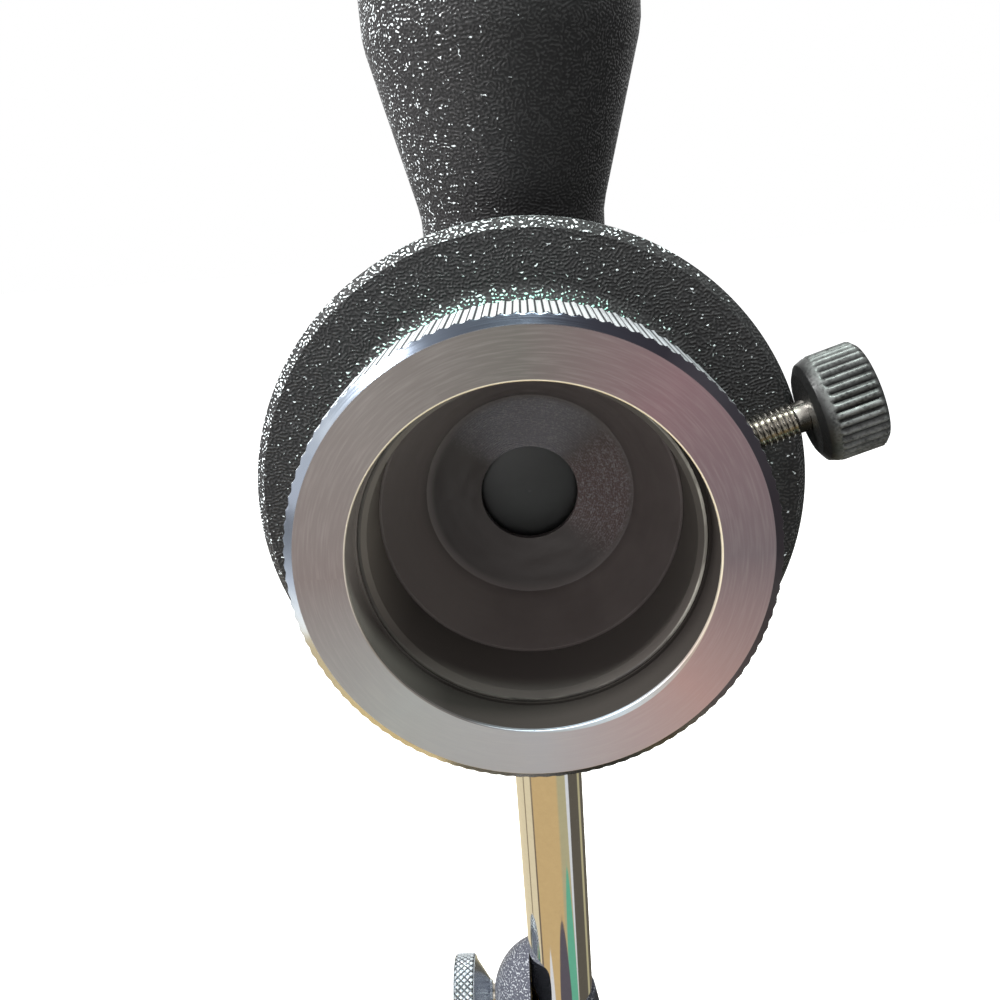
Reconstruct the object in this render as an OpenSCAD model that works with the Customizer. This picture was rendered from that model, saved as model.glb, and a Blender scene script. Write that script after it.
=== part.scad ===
// Elbow telescope on a chrome pillar and a round base.
// Z is up, the pillar stands on the Z axis and the base rests on z = 0.
// The eyepiece looks towards -Y, and the objective tube points up when the telescope is at rest.

/* [Layout] */
// Height of the eyepiece's axis above the table
axis_h = 200; // [190:1:240]
// Height of the clamp screw above the table
clamp_h = 87; // [84:1:96]

/* [Focusing ring] */
// Outer radius of the focusing ring over its knurl
ring_r = 30.4; // [29:0.1:33]
// Length of the focusing ring's knurled part
ring_len = 13; // [11:0.5:16]
// Radius of the bore at the ring's mouth
mouth_r = 22.6; // [22.4:0.1:23.4]
// Depth of the bore at the ring's mouth
mouth_depth = 6.2; // [5:0.2:8]
// Width of the polished chamfer across the ring's face
ring_chamfer = 1.4; // [0.5:0.1:1.6]
// Length of the polished chamfer along the ring
ring_chamfer_len = 1.1; // [0.4:0.1:1.4]
// Number of ridges round the knurl
ring_ridges = 108; // [60:2:160]
// Depth of the ridges of the knurl
ring_ridge_depth = 0.35; // [0.2:0.05:0.6]
// Radius of the bore that carries the draw tube
sleeve_bore_r = 22.2; // [21.6:0.1:22.3]
// Wall of the ring's sleeve
sleeve_wall = 2.75; // [2:0.05:3]
// Length of the ring's sleeve behind the knurled part
sleeve_len = 14; // [12:0.5:15]
// Depth of the groove in the sleeve that takes the lock pad
pad_groove_depth = 0.4; // [0.2:0.1:0.8]

/* [Draw tube] */
// Wall of the draw tube
draw_wall = 1.05; // [0.8:0.05:1.3]
// Distance from the draw tube's front edge to the mouth of the stop
stop_inset = 12; // [8:0.5:13]
// Radius of the hole in the stop
stop_hole_r = 7.15; // [5:0.05:8]
// Radius of the stop's shallow dish
dish_r = 15.2; // [13:0.1:18]
// Depth of the stop's funnel
funnel_depth = 8.5; // [6:0.5:10]
// Depth of the stop's shallow dish
dish_depth = 1.4; // [1:0.1:1.6]
// Thickness of the stop behind its funnel
stop_back = 1.3; // [1.2:0.1:1.5]
// Thickness of the stop round its hole
stop_hub_t = 1.1; // [0.9:0.1:2]
// Width of the groove that keeps the eyepiece barrel from turning
key_w = 2; // [1.6:0.1:2.4]

/* [Eyepiece] */
// Outer radius of the eyepiece barrel
barrel_r = 11.9; // [11.5:0.1:12.5]
// Wall of the eyepiece barrel
barrel_wall = 2.3; // [1.8:0.1:2.6]
// Thickness of the eye lens
eye_lens_t = 2.8; // [2:0.1:3.4]
// Thickness of the spacer between the two eyepiece lenses
eye_spacer_t = 1; // [0.6:0.1:2]
// Thickness of the field lens
field_lens_t = 1.8; // [1.4:0.1:2.6]
// Thickness of the ring that retains the eyepiece lenses
barrel_ring_t = 0.9; // [0.6:0.1:1.6]
// Width of the flat rim under a retaining ring or a spacer
lens_seat = 1.2; // [1:0.1:1.8]

/* [Front flange] */
// Radius of the front flange
flange_r = 39.5; // [37:0.1:44]
// Thickness of the front flange
flange_t = 5; // [4.6:0.2:8]
// Bevel of the front flange's edge
flange_bevel = 1.3; // [0.5:0.1:2]
// Wall of the boss that holds the sleeve
boss_wall = 3.5; // [3:0.1:4]
// Length of the boss in front of the flange
boss_len = 10.4; // [8.5:0.1:12]
// Radius of the hollow fillet between the boss and the flange
boss_fillet = 3; // [1:0.25:3.5]

/* [Lock screw] */
// Angle of the lock screw above the horizontal
lock_angle = 17.5; // [10:0.5:40]
// Radius of the lock screw's thread
lock_thread_r = 2.45; // [2:0.05:2.6]
// Radius of the plain shank beside the knob
lock_shank_r = 2.1; // [1.8:0.05:2.2]
// Length of the plain shank beside the knob
lock_shank_len = 1.5; // [1:0.1:5]
// Radius of the lock knob
lock_knob_r = 7.3; // [6:0.1:8]
// Length of the lock knob
lock_knob_len = 8.4; // [7:0.2:14]
// Length of the plain rounded end of the lock knob
lock_knob_end = 2; // [1:0.1:2.5]
// Number of grooves round the lock knob
lock_grooves = 36; // [18:2:48]
// Thickness of the brass pad at the lock screw's tip
lock_pad_t = 1.5; // [1:0.1:2]

/* [Elbow housing] */
// Radius of the elbow housing
drum_r = 26; // [25:0.5:28]
// Wall of the elbow housing
drum_wall = 5; // [4.5:0.25:6]
// Thickness of the elbow housing's front wall and its rim
drum_front_t = 3; // [2.5:0.25:4]
// Height of the neck's socket above the elbow housing
socket_rise = 4; // [3:0.5:6]
// Thickness of the rear cover
cover_t = 3; // [2.5:0.25:4]

/* [Prism] */
// Half of the width of the prism
prism_half = 9; // [8:0.25:9.5]
// Free distance between the eyepiece barrel and the prism
prism_gap = 0.8; // [0.6:0.1:2]
// Thickness of the plates that hold the prism's sides
cheek_t = 1.6; // [1.2:0.1:2]

/* [Objective tube] */
// Radius of the neck
neck_r = 13.9; // [13:0.1:14.5]
// Length of the neck above its socket
neck_len = 11; // [8:0.5:16]
// Length of the cone between the neck and the tube
cone_len = 21.5; // [18:0.5:30]
// Radius of the objective tube
tube_r = 20; // [19:0.25:21.5]
// Length of the objective tube above the cone
tube_len = 72.5; // [60:0.5:110]
// Height of the light baffle above the cone
baffle_rise = 29; // [10:1:45]
// Radius of the hole in the light baffle
baffle_r = 12.5; // [10:0.5:16]
// Wall of the objective tube
tube_wall = 2; // [1.5:0.25:2.5]
// Radius of the light path through the neck
neck_bore_r = 9.6; // [8.5:0.1:10]

/* [Objective] */
// Outer radius of the objective cell
cell_r = 22; // [21.8:0.1:24]
// Length of the objective cell
cell_len = 17; // [15:0.5:22]
// Radius of the objective lenses
lens_r = 16.8; // [14:0.1:17.2]
// Radius of curvature of the crown lens
crown_curve_r = 60; // [56:1:90]
// Thickness of the crown lens at its middle
crown_t = 5.5; // [5.2:0.1:6.5]
// Thickness of the flint lens at its edge
flint_t = 4.5; // [4:0.1:5.5]
// Thickness of the spacer between the objective lenses
lens_spacer_t = 0.6; // [0.4:0.1:1]
// Thickness of the ring that retains the objective lenses
objective_ring_t = 2.5; // [1.5:0.25:3]
// Height of the lens ledge above the cell's foot
lens_ledge_rise = 6; // [4:0.5:6.5]
// Wall of the dew cap
dew_wall = 1.8; // [1.4:0.1:2.4]
// Length of the dew cap
dew_len = 40; // [35:1:60]
// Height of the dew cap's front edge above the cell when it is pushed back
dew_rest = 6; // [3:1:10]

/* [Tilt bracket] */
// Radius of the trunnion
trunnion_r = 7; // [6:0.25:7.5]
// Radius of the bracket's bearing
bearing_r = 15; // [13:0.5:17]
// Length of the bracket's bearing
bearing_len = 17.4; // [14:0.2:22]
// Wall of the bronze bush
bush_wall = 2; // [1.5:0.25:2.5]
// Thickness of the bracket's web
web_t = 12; // [10:0.5:16]
// Radius of the socket that holds the pillar's top
pillar_socket_r = 11; // [10:0.25:13]
// Length of the socket that holds the pillar's top
pillar_socket_len = 20; // [18:0.5:30]
// Thickness of the bracket above the pillar's top
pillar_cap_t = 6; // [5:0.5:8]
// Thickness of the fibre friction washer
friction_t = 1.5; // [1:0.1:2]
// Thickness of the brass tension washer
tension_t = 1.5; // [1:0.1:2]
// Radius of the threaded end of the trunnion
stud_r = 4; // [3:0.25:4.5]
// Radius of the tilt knob
tilt_knob_r = 14; // [12:0.5:17]
// Length of the tilt knob
tilt_knob_len = 12; // [11:0.5:16]
// Number of grooves round the tilt knob
tilt_grooves = 30; // [16:2:40]

/* [Pillar] */
// Radius of the chrome pillar
pillar_r = 6.15; // [5.8:0.05:6.35]
// Height of the pillar's foot above the table when the telescope is at rest
pillar_foot_h = 40; // [36:1:44]
// Length of the guide ring at the pillar's foot
guide_len = 6; // [4:0.5:8]
// Wall of the guide ring at the pillar's foot
guide_wall = 2; // [1.5:0.25:2.5]

/* [Clamp casting] */
// Radius of the casting's turning flange
turn_r = 17; // [16:0.5:20]
// Thickness of the casting's turning flange
turn_t = 5; // [4:0.5:8]
// Radius of the waist where the casting's skirt ends
waist_r = 10; // [9.6:0.1:11]
// Height of the collar round the pillar
collar_len = 16; // [13:0.5:18]
// Thickness of the collar's lip round the pillar
lip_t = 0.6; // [0.5:0.05:1.2]
// Radius of the rounded ear that carries the clamp screw
ear_r = 11.2; // [10:0.1:12]
// Distance from the pillar's axis to the middle of the ear
ear_shift = 2.6; // [1.5:0.1:3.5]
// Wall of the spigot that turns in the base
spigot_wall = 2.8; // [2.4:0.1:3.4]
// Height of the shoulder that stops the pillar's guide ring
shoulder_h = 70; // [66:0.5:72]
// Radius of the clamp screw
clamp_screw_r = 1.9; // [1.6:0.1:2.8]
// Radius of the clamp shoe
shoe_r = 3.5; // [3.2:0.1:4]
// Thickness of the clamp shoe
shoe_t = 3.2; // [2.5:0.1:3.5]
// Radius of the clamp knob over its knurl
clamp_knob_r = 7.8; // [7:0.1:9]
// Width of the clamp knob's knurl
clamp_knob_w = 4.2; // [3.5:0.1:6]
// Length of the clamp knob's tapered hub
clamp_hub_len = 3.3; // [2.5:0.1:5]
// Radius of the narrow end of the clamp knob's hub
clamp_hub_r = 2.9; // [2.7:0.1:4]

/* [Base] */
// Radius of the base
base_r = 66; // [62:0.5:75]
// Height of the base's upright edge
base_edge_h = 8; // [6:0.5:12]
// Height of the top of the base's hub above the table
hub_h = 47; // [46:0.5:48]
// Radius of the top of the base's hub
hub_r = 17; // [16:0.5:20]
// Height of the floor of the hollow under the base
hollow_h = 20; // [19:0.5:22]
// Radius of the hollow under the base
hollow_r = 16; // [15.5:0.25:17]
// Thickness of the ring nut under the base
nut_t = 3.5; // [3:0.25:4.5]
// Thickness of the ring nut's floor, which stops the pillar's guide ring
nut_floor_t = 1.5; // [1:0.25:2]
// Thickness of the thrust washer on the hub
thrust_t = 1; // [0.8:0.1:1.5]
// Radius of a rubber foot
foot_r = 8; // [6:0.5:10]
// Height of a rubber foot below the base
foot_h = 3; // [2:0.25:5]
// Distance from the middle of the base to a rubber foot
foot_circle_r = 54; // [50:0.5:54]

/* [Hidden] */

$fn = 96;
// Radial clearance of a running fit
run = 0.05;
// Gap between faces that pass each other
gap = 0.3;
// Gap between faces that rest on each other
rest = 0.05;
// Overlap of one cut over the face that it opens
over = 1;

// Places along the eyepiece's axis, measured back from the ring's face
draw_front_d = mouth_depth + gap;
sleeve_r = sleeve_bore_r + sleeve_wall;
sleeve_end_d = ring_len + sleeve_len;
boss_front_d = ring_len + gap;
flange_front_d = boss_front_d + boss_len;
flange_back_d = flange_front_d + flange_t;
boss_bore_r = sleeve_r + run;
boss_r = boss_bore_r + boss_wall;
draw_r = sleeve_bore_r - run;
draw_bore_r = draw_r - draw_wall;
stop_front_d = draw_front_d + stop_inset;
dish_d = stop_front_d + funnel_depth;
stop_hole_d = dish_d + dish_depth;
stop_hub_d = stop_hole_d + stop_hub_t;
stop_rear_d = dish_d + stop_back;
lens_bore_r = barrel_r - barrel_wall;
key_depth = 1;
rim_screw_r = 1.5;
rim_screw_bite = 3;
rim_screw_sink = 2;
small_screw_r = 1.2;
cover_screw_bite = 5;
seat_screw_len = 6.5;
stop_hub_r = barrel_r - key_depth;
eye_lens_d = stop_hub_d + rest;
eye_spacer_d = eye_lens_d + eye_lens_t + rest;
field_lens_d = eye_spacer_d + eye_spacer_t + rest;
barrel_ring_d = field_lens_d + field_lens_t + rest;
barrel_end_d = barrel_ring_d + barrel_ring_t;
guide_bore_r = barrel_r + 2 * run;
eye_curve_r = 45;
field_curve_r = 60;

// Distance from the ring's face back to the pillar's axis
face_out = barrel_end_d + prism_gap + prism_half;
drum_front_y = flange_back_d - face_out;
flange_face_y = flange_front_d - face_out;

// Lock screw, measured outwards from the eyepiece's axis
lock_d = boss_front_d + boss_len / 2;
lock_pad_in = sleeve_r - pad_groove_depth + rest;
lock_screw_in = lock_pad_in + lock_pad_t + rest;
lock_knob_in = flange_r - 0.2;
lock_shank_in = lock_knob_in - lock_shank_len;
lock_knob_bore = 5;

// Elbow housing and what is behind it
screw_head_r = rim_screw_r + 1.1;
rim_screw_circle_r = drum_r + screw_head_r + 1.4;
rim_r = rim_screw_circle_r + 4;
socket_r = neck_r + 1.6;
cavity_r = drum_r - drum_wall;
drum_back_y = socket_r + 0.5;
cover_back_y = drum_back_y + cover_t;
spigot_tube_r = neck_r - 1.9;
socket_h = drum_r + socket_rise;
neck_h = socket_h + neck_len;
cone_h = neck_h + cone_len;
tube_h = cone_h + tube_len;
cover_screw_circle_r = drum_r - drum_wall / 2;
trunnion_disc_r = trunnion_r + 5;
trunnion_disc_t = 2;
seat_back_y = drum_back_y - trunnion_disc_t - 2 * rest;
seat_drop = prism_half + 3;
seat_screw_drop = prism_half - 1;
seat_head_r = 2.2;
seat_head_t = 1;
friction_y = cover_back_y + rest;
bearing_y = friction_y + friction_t + rest;
bearing_end_y = bearing_y + bearing_len;
tension_y = bearing_end_y + rest;
tilt_knob_y = tension_y + tension_t + rest;
stud_end_y = tilt_knob_y + tilt_knob_len - 2;
bush_r = trunnion_r + run + bush_wall;
tilt_insert_r = stud_r + 2.5;

// Pillar, its socket and its guide
pillar_socket_low_h = axis_h - drum_r - gap - 6 - pillar_socket_len;
pillar_socket_top_h = pillar_socket_low_h + pillar_socket_len;
pillar_top_h = pillar_socket_top_h - pillar_cap_t;
set_screw_r = 2;
set_screw_h = (pillar_socket_low_h + pillar_top_h) / 2;
guide_ring_r = pillar_r + guide_wall;
collar_bore_r = pillar_r + run;
spigot_bore_r = guide_ring_r + run;
spigot_r = spigot_bore_r + spigot_wall;
hub_bore_r = spigot_r + run;

// Clamp casting, measured up from the table
turn_low_h = hub_h + thrust_t + 2 * rest;
turn_top_h = turn_low_h + turn_t;
collar_top_h = clamp_h + 0.8;
waist_h = collar_top_h - collar_len;
shoe_in = pillar_r + 0.02;
clamp_screw_in = shoe_in + shoe_t + rest;
ear_tip = ear_shift + ear_r;
clamp_hub_in = ear_tip + gap;
clamp_knurl_in = clamp_hub_in + clamp_hub_len;
clamp_knob_end = clamp_knurl_in + clamp_knob_w;
nut_top_h = hollow_h - 0.6;
nut_low_h = nut_top_h - nut_t;
base_low_h = foot_h;
foot_recess = 0.6;
foot_count = 3;
foot_screw_r = 2;

// Objective, measured up from the eyepiece's axis
cell_h = tube_h + rest;
cell_top_h = cell_h + cell_len;
cell_neck = 4;
cell_neck_r = tube_r - tube_wall - run;
cell_bore_r = lens_r + run;
lens_ledge_r = lens_r - lens_seat;
flint_h = cell_h + lens_ledge_rise;
objective_spacer_h = flint_h + flint_t + rest;
crown_h = objective_spacer_h + lens_spacer_t + rest;
lens_dome_r = lens_ledge_r - rest;
crown_sag = crown_curve_r - sqrt(crown_curve_r * crown_curve_r - lens_dome_r * lens_dome_r);
crown_edge_t = crown_t - 2 * crown_sag;
objective_ring_h = crown_h + crown_edge_t + rest;
dew_bore_r = cell_r + run;
dew_r = dew_bore_r + dew_wall;
dew_top_h = cell_top_h + dew_rest;

// Puts the children's Z axis along the eyepiece's axis, at a distance behind the ring's face
module behind_face(d) {
    translate([0, d - face_out, axis_h]) rotate([-90, 0, 0]) children();
}

// Puts the children's Z axis along +Y at a distance from the pillar, on the eyepiece's axis
module along_y(y) {
    translate([0, y, axis_h]) rotate([-90, 0, 0]) children();
}

// Puts the children's Z axis outwards along the lock screw
module along_lock() {
    translate([0, lock_d - face_out, axis_h]) rotate([0, 90 - lock_angle, 0]) children();
}

// Puts the children's Z axis outwards along the clamp screw, towards -X
module along_clamp() {
    translate([0, 0, clamp_h]) rotate([0, -90, 0]) children();
}

// A ring or tube from one height to another
module tube(outer, inner, from, to) {
    translate([0, 0, from]) difference() {
        cylinder(r = outer, h = to - from);
        translate([0, 0, -over]) cylinder(r = inner, h = to - from + 2 * over);
    }
}

// A disc with pointed ridges round it
module ridged_disc(r, depth, count, h) {
    points = [for (i = [0:2 * count - 1]) let (a = i * 180 / count, p = i % 2 == 0 ? r : r - depth)
        [p * cos(a), p * sin(a)]];
    linear_extrude(h) polygon(points);
}

// A disc with square-cut grooves round it
module grooved_disc(r, depth, count, h) {
    quarter = 90 / count;
    points = [for (i = [0:4 * count - 1]) let (a = i * quarter, p = i % 4 < 2 ? r : r - depth)
        [p * cos(a), p * sin(a)]];
    linear_extrude(h) polygon(points);
}

// A plain knob body with bevelled ends, used to trim a grooved disc
module bevelled_disc(r, h, bevel) {
    rotate_extrude() polygon([[0, 0], [r - bevel, 0], [r, bevel], [r, h - bevel], [r - bevel, h], [0, h]]);
}

// A countersunk or cheese-head screw along Z, with its head's top at z = 0 and its shank below
module screw(shank_r, head_r, head_t, length, slot_w) {
    difference() {
        union() {
            translate([0, 0, -head_t]) cylinder(r = head_r, h = head_t);
            translate([0, 0, -length]) cylinder(r = shank_r, h = length - head_t / 2);
        }
        translate([-head_r - over, -slot_w / 2, -head_t / 2]) cube([2 * head_r + 2 * over, slot_w, head_t]);
    }
}

// Points of a quarter circle from one angle to another about a middle
function arc(cx, cy, r, from, to, steps) =
    [for (i = [0:steps]) let (a = from + (to - from) * i / steps) [cx + r * cos(a), cy + r * sin(a)]];

module focusing_ring() {
    color("silver") behind_face(0) difference() {
        union() {
            intersection() {
                ridged_disc(ring_r, ring_ridge_depth, ring_ridges, ring_len);
                rotate_extrude() polygon([
                    [0, 0], [ring_r - ring_chamfer, 0],
                    [ring_r + over, ring_chamfer_len * (1 + over / ring_chamfer)],
                    [ring_r + over, ring_len - ring_chamfer_len * (0.5 + over / ring_chamfer)],
                    [ring_r - ring_chamfer / 2, ring_len], [0, ring_len]
                ]);
            }
            cylinder(r = sleeve_r, h = sleeve_end_d);
        }
        translate([0, 0, -over]) cylinder(r = mouth_r, h = mouth_depth + over);
        cylinder(r = sleeve_bore_r, h = sleeve_end_d + over);
        translate([0, 0, lock_d - lock_thread_r - 2 * run]) difference() {
            cylinder(r = sleeve_r + over, h = 2 * lock_thread_r + 4 * run);
            translate([0, 0, -over]) cylinder(r = sleeve_r - pad_groove_depth, h = 2 * lock_thread_r + 4);
        }
    }
}

module draw_tube() {
    color("dimgray") behind_face(0) rotate_extrude() polygon([
        [draw_bore_r, draw_front_d + draw_wall], [draw_r - draw_wall / 4, draw_front_d],
        [draw_r, draw_front_d],
        [draw_r, stop_rear_d], [draw_bore_r, stop_rear_d]
    ]);
}

module stop_plate() {
    stop_r = draw_bore_r - run;
    color("#2b2624") behind_face(0) rotate_extrude() polygon([
        [stop_hole_r, stop_hole_d], [dish_r, dish_d], [stop_r - 0.4, stop_front_d], [stop_r, stop_front_d],
        [stop_r, stop_rear_d], [stop_hub_r, stop_rear_d], [stop_hub_r, stop_hub_d], [stop_hole_r, stop_hub_d]
    ]);
}

module eyepiece_barrel() {
    color("black") behind_face(0) difference() {
        tube(barrel_r, lens_bore_r + run, stop_hub_d + rest, barrel_end_d);
        translate([-key_w / 2, barrel_r - key_depth, stop_hub_d])
            cube([key_w, 2 * key_depth, barrel_end_d - stop_hub_d + over]);
    }
}

// Points of a dome from its middle out to its edge, at a height at the middle
// Side is 1 when the dome bulges upwards
function dome(r, curve_r, height, side, steps) =
    [for (i = [0:steps]) let (x = r * i / steps)
        [x, height - side * (curve_r - sqrt(curve_r * curve_r - x * x))]];

// The same points from the edge in to the middle
function turned_round(points) = [for (i = [len(points) - 1:-1:0]) points[i]];

module eye_lens() {
    color("lightblue", 0.4) behind_face(eye_lens_d) rotate_extrude() polygon(concat(
        [[0, eye_lens_t], [lens_bore_r, eye_lens_t]],
        turned_round(dome(lens_bore_r, eye_curve_r, 0, -1, 8))
    ));
}

module eyepiece_spacer() {
    color("black") behind_face(0)
        tube(lens_bore_r, lens_bore_r - lens_seat, eye_spacer_d, eye_spacer_d + eye_spacer_t);
}

module field_lens() {
    color("lightblue", 0.4) behind_face(field_lens_d) rotate_extrude() polygon(concat(
        [[0, 0], [lens_bore_r, 0]],
        turned_round(dome(lens_bore_r, field_curve_r, field_lens_t, 1, 8))
    ));
}

module eyepiece_lens_ring() {
    color("dimgray") behind_face(0)
        tube(lens_bore_r, lens_bore_r - lens_seat, barrel_ring_d, barrel_end_d);
}

module key_pin() {
    key_r = key_w / 2 - run;
    key_out_r = rim_r - 2;
    color("silver") translate([0, drum_front_y + drum_front_t / 2, axis_h - key_out_r])
        cylinder(r = key_r, h = key_out_r - barrel_r + 0.6);
}

module front_flange() {
    fillet_r = boss_r + boss_fillet;
    fillet_d = flange_front_d - boss_fillet;
    profile = concat(
        [[boss_bore_r, boss_front_d], [boss_r - 0.5, boss_front_d], [boss_r, boss_front_d + 0.5]],
        arc(fillet_r, fillet_d, boss_fillet, 180, 90, 6),
        [[flange_r - flange_bevel, flange_front_d], [flange_r, flange_front_d + flange_bevel]],
        [[flange_r, flange_back_d - 0.5], [flange_r - 0.5, flange_back_d], [boss_bore_r, flange_back_d]]
    );
    color("#1d1d1f") difference() {
        behind_face(0) rotate_extrude() polygon(profile);
        along_lock() cylinder(r = lock_thread_r + run, h = boss_r + boss_fillet + 2);
        along_y(drum_front_y - rim_screw_bite - 0.5) rotate([0, 0, 45]) screw_circle(rim_screw_circle_r, 4)
            cylinder(r = rim_screw_r + run, h = rim_screw_bite + 1);
    }
}

// Repeats the children round a circle
module screw_circle(r, count) {
    for (i = [0:count - 1]) rotate([0, 0, i * 360 / count]) translate([r, 0, 0]) children();
}

module lock_screw() {
    color("#c9c2b2") along_lock() {
        translate([0, 0, lock_screw_in]) cylinder(r = lock_thread_r, h = lock_shank_in - lock_screw_in);
        translate([0, 0, lock_shank_in]) cylinder(r = lock_shank_r, h = lock_shank_len + lock_knob_bore);
    }
}

module lock_knob() {
    color("#242424") along_lock() translate([0, 0, lock_knob_in]) difference() {
        intersection() {
            grooved_disc(lock_knob_r, 0.6, lock_grooves, lock_knob_len);
            rotate_extrude() polygon([
                [0, 0], [lock_knob_r - 1.8, 0], [lock_knob_r - 0.45, lock_knob_end / 3],
                [lock_knob_r, lock_knob_end], [lock_knob_r, lock_knob_len - 0.8],
                [lock_knob_r - 0.8, lock_knob_len], [0, lock_knob_len]
            ]);
        }
        translate([0, 0, -over]) cylinder(r = lock_shank_r + run, h = lock_knob_bore + over + rest);
    }
}

module lock_pad() {
    color("goldenrod") difference() {
        along_lock() translate([0, 0, lock_pad_in - 0.5])
            cylinder(r = lock_thread_r - run, h = lock_pad_t + 0.5);
        behind_face(0) cylinder(r = lock_pad_in, h = sleeve_end_d);
    }
}

module elbow_housing() {
    color("#1d1d1f") difference() {
        union() {
            along_y(drum_front_y) cylinder(r = drum_r, h = drum_back_y - drum_front_y);
            along_y(drum_front_y) cylinder(r = rim_r, h = drum_front_t);
            translate([0, 0, axis_h + drum_r / 2]) cylinder(r = socket_r, h = socket_h - drum_r / 2);
        }
        along_y(drum_front_y + drum_front_t) cylinder(r = cavity_r, h = drum_back_y - drum_front_y);
        along_y(drum_front_y - over) cylinder(r = guide_bore_r, h = drum_front_t + 2 * over);
        translate([0, 0, axis_h + drum_r / 2]) cylinder(r = spigot_tube_r + run, h = socket_h);
        along_y(drum_front_y - over) rotate([0, 0, 45]) screw_circle(rim_screw_circle_r, 4)
            cylinder(r = rim_screw_r + run, h = drum_front_t + 2 * over);
        along_y(drum_back_y - cover_screw_bite - 1) rotate([0, 0, 45]) screw_circle(cover_screw_circle_r, 4)
            cylinder(r = small_screw_r + run, h = cover_screw_bite + 1 + over);
        translate([0, drum_front_y + drum_front_t / 2, axis_h - rim_r - over])
            cylinder(r = key_w / 2, h = rim_r + over - barrel_r);
        neck_screw_places() cylinder(r = 1.5 + run, h = socket_r);
    }
}

// Puts the children's Z axis outwards along each grub screw in the neck's socket
module neck_screw_places() {
    for (a = [90, 210, 330])
        translate([0, 0, axis_h + socket_h - 3]) rotate([0, 90, a])
            translate([0, 0, spigot_tube_r + 0.1]) children();
}

module flange_screws() {
    color("gray") along_y(drum_front_y + drum_front_t + rim_screw_sink) rotate([0, 0, 45])
        screw_circle(rim_screw_circle_r, 4)
            screw(rim_screw_r, screw_head_r, rim_screw_sink - 0.1,
                rim_screw_sink + drum_front_t + rim_screw_bite, 0.7);
}

module neck_screws() {
    color("gray") neck_screw_places() cylinder(r = 1.5, h = socket_r - spigot_tube_r - 0.6);
}

module rear_cover() {
    color("#1d1d1f") along_y(drum_back_y) difference() {
        rotate_extrude() polygon([
            [trunnion_r + run, 0], [drum_r, 0], [drum_r, cover_t - 0.8], [drum_r - 0.8, cover_t],
            [trunnion_r + run, cover_t]
        ]);
        rotate([0, 0, 45]) screw_circle(cover_screw_circle_r, 4)
            translate([0, 0, -over]) cylinder(r = small_screw_r + run, h = cover_t + 2 * over);
        rotate([0, 0, 45]) screw_circle(cover_screw_circle_r, 4)
            translate([0, 0, cover_t - 1.3]) cylinder(r = 2.1 + run, h = 2);
    }
}

module cover_screws() {
    color("gray") along_y(cover_back_y) rotate([0, 0, 45]) screw_circle(cover_screw_circle_r, 4)
        screw(small_screw_r, 2.1, 1.3, cover_t + cover_screw_bite, 0.6);
}

module trunnion() {
    disc_y = drum_back_y - trunnion_disc_t - rest;
    color("silver") difference() {
        union() {
            along_y(disc_y) cylinder(r = trunnion_disc_r, h = trunnion_disc_t);
            along_y(disc_y) cylinder(r = trunnion_r, h = bearing_end_y - disc_y);
            along_y(disc_y) cylinder(r = stud_r, h = stud_end_y - disc_y);
        }
        seat_screw_places() {
            translate([0, 0, -seat_head_t - rest]) cylinder(r = seat_head_r + run, h = seat_head_t + 0.3);
            translate([0, 0, -trunnion_disc_t - over])
                cylinder(r = small_screw_r + run, h = trunnion_disc_t + 2 * over);
        }
    }
}

// Extrudes an outline drawn in Y and Z across X
module across_x(half) {
    translate([-half, 0, axis_h]) rotate([90, 0, 90]) linear_extrude(2 * half) children();
}

module prism() {
    p = prism_half;
    color("lightblue", 0.5) across_x(p) polygon([[-p, -p], [p, p], [-p, p]]);
}

module prism_seat() {
    p = prism_half;
    color("dimgray") difference() {
        across_x(p) polygon([
            [-p + 2, -p + 2 - 0.1], [p, p - 0.1], [seat_back_y, p - 0.1], [seat_back_y, -seat_drop],
            [-p + 2, -seat_drop]
        ]);
        seat_screw_places() translate([0, 0, -seat_screw_len - 1])
            cylinder(r = small_screw_r + run, h = seat_screw_len + 1);
    }
}

// Puts the children on top of each screw that holds the prism's seat, with Z out of its head
module seat_screw_places() {
    for (x = [-5, 5])
        translate([x, drum_back_y - 2 * rest, axis_h - seat_screw_drop]) rotate([-90, 0, 0]) children();
}

module prism_cheeks() {
    p = prism_half;
    color("dimgray") for (side = [-1, 1])
        translate([side * (p + rest + cheek_t / 2), 0, 0]) across_x(cheek_t / 2)
            polygon([[-p + 1, -seat_drop], [seat_back_y, -seat_drop], [seat_back_y, p - 1], [-p + 1, p - 1]]);
}

module seat_screws() {
    color("gray") seat_screw_places() screw(small_screw_r, seat_head_r, seat_head_t, seat_screw_len, 0.5);
}

module objective_tube() {
    outer = concat(
        [
            [neck_bore_r, drum_r - 4], [spigot_tube_r, drum_r - 4], [spigot_tube_r, socket_h],
            [neck_r, socket_h]
        ],
        [[neck_r, neck_h - 2], [neck_r + 0.35, neck_h], [tube_r - 0.3, cone_h], [tube_r, cone_h + 2]],
        [[tube_r, tube_h]]
    );
    inner = [
        [tube_r - tube_wall, tube_h], [tube_r - tube_wall, cone_h], [neck_bore_r, neck_h - 4]
    ];
    color("#1d1d1f") translate([0, 0, axis_h]) rotate_extrude() polygon(concat(outer, inner));
}

module light_baffle() {
    color("black") translate([0, 0, axis_h])
        tube(tube_r - tube_wall - run, baffle_r, cone_h + baffle_rise, cone_h + baffle_rise + 1);
}

module objective_cell() {
    color("#303030") translate([0, 0, axis_h]) rotate_extrude() polygon([
        [lens_ledge_r, cell_h - cell_neck], [cell_neck_r, cell_h - cell_neck], [cell_neck_r, cell_h],
        [cell_r, cell_h], [cell_r, cell_top_h - 0.5], [cell_r - 0.5, cell_top_h], [cell_bore_r, cell_top_h],
        [cell_bore_r, flint_h], [lens_ledge_r, flint_h]
    ]);
}

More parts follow.
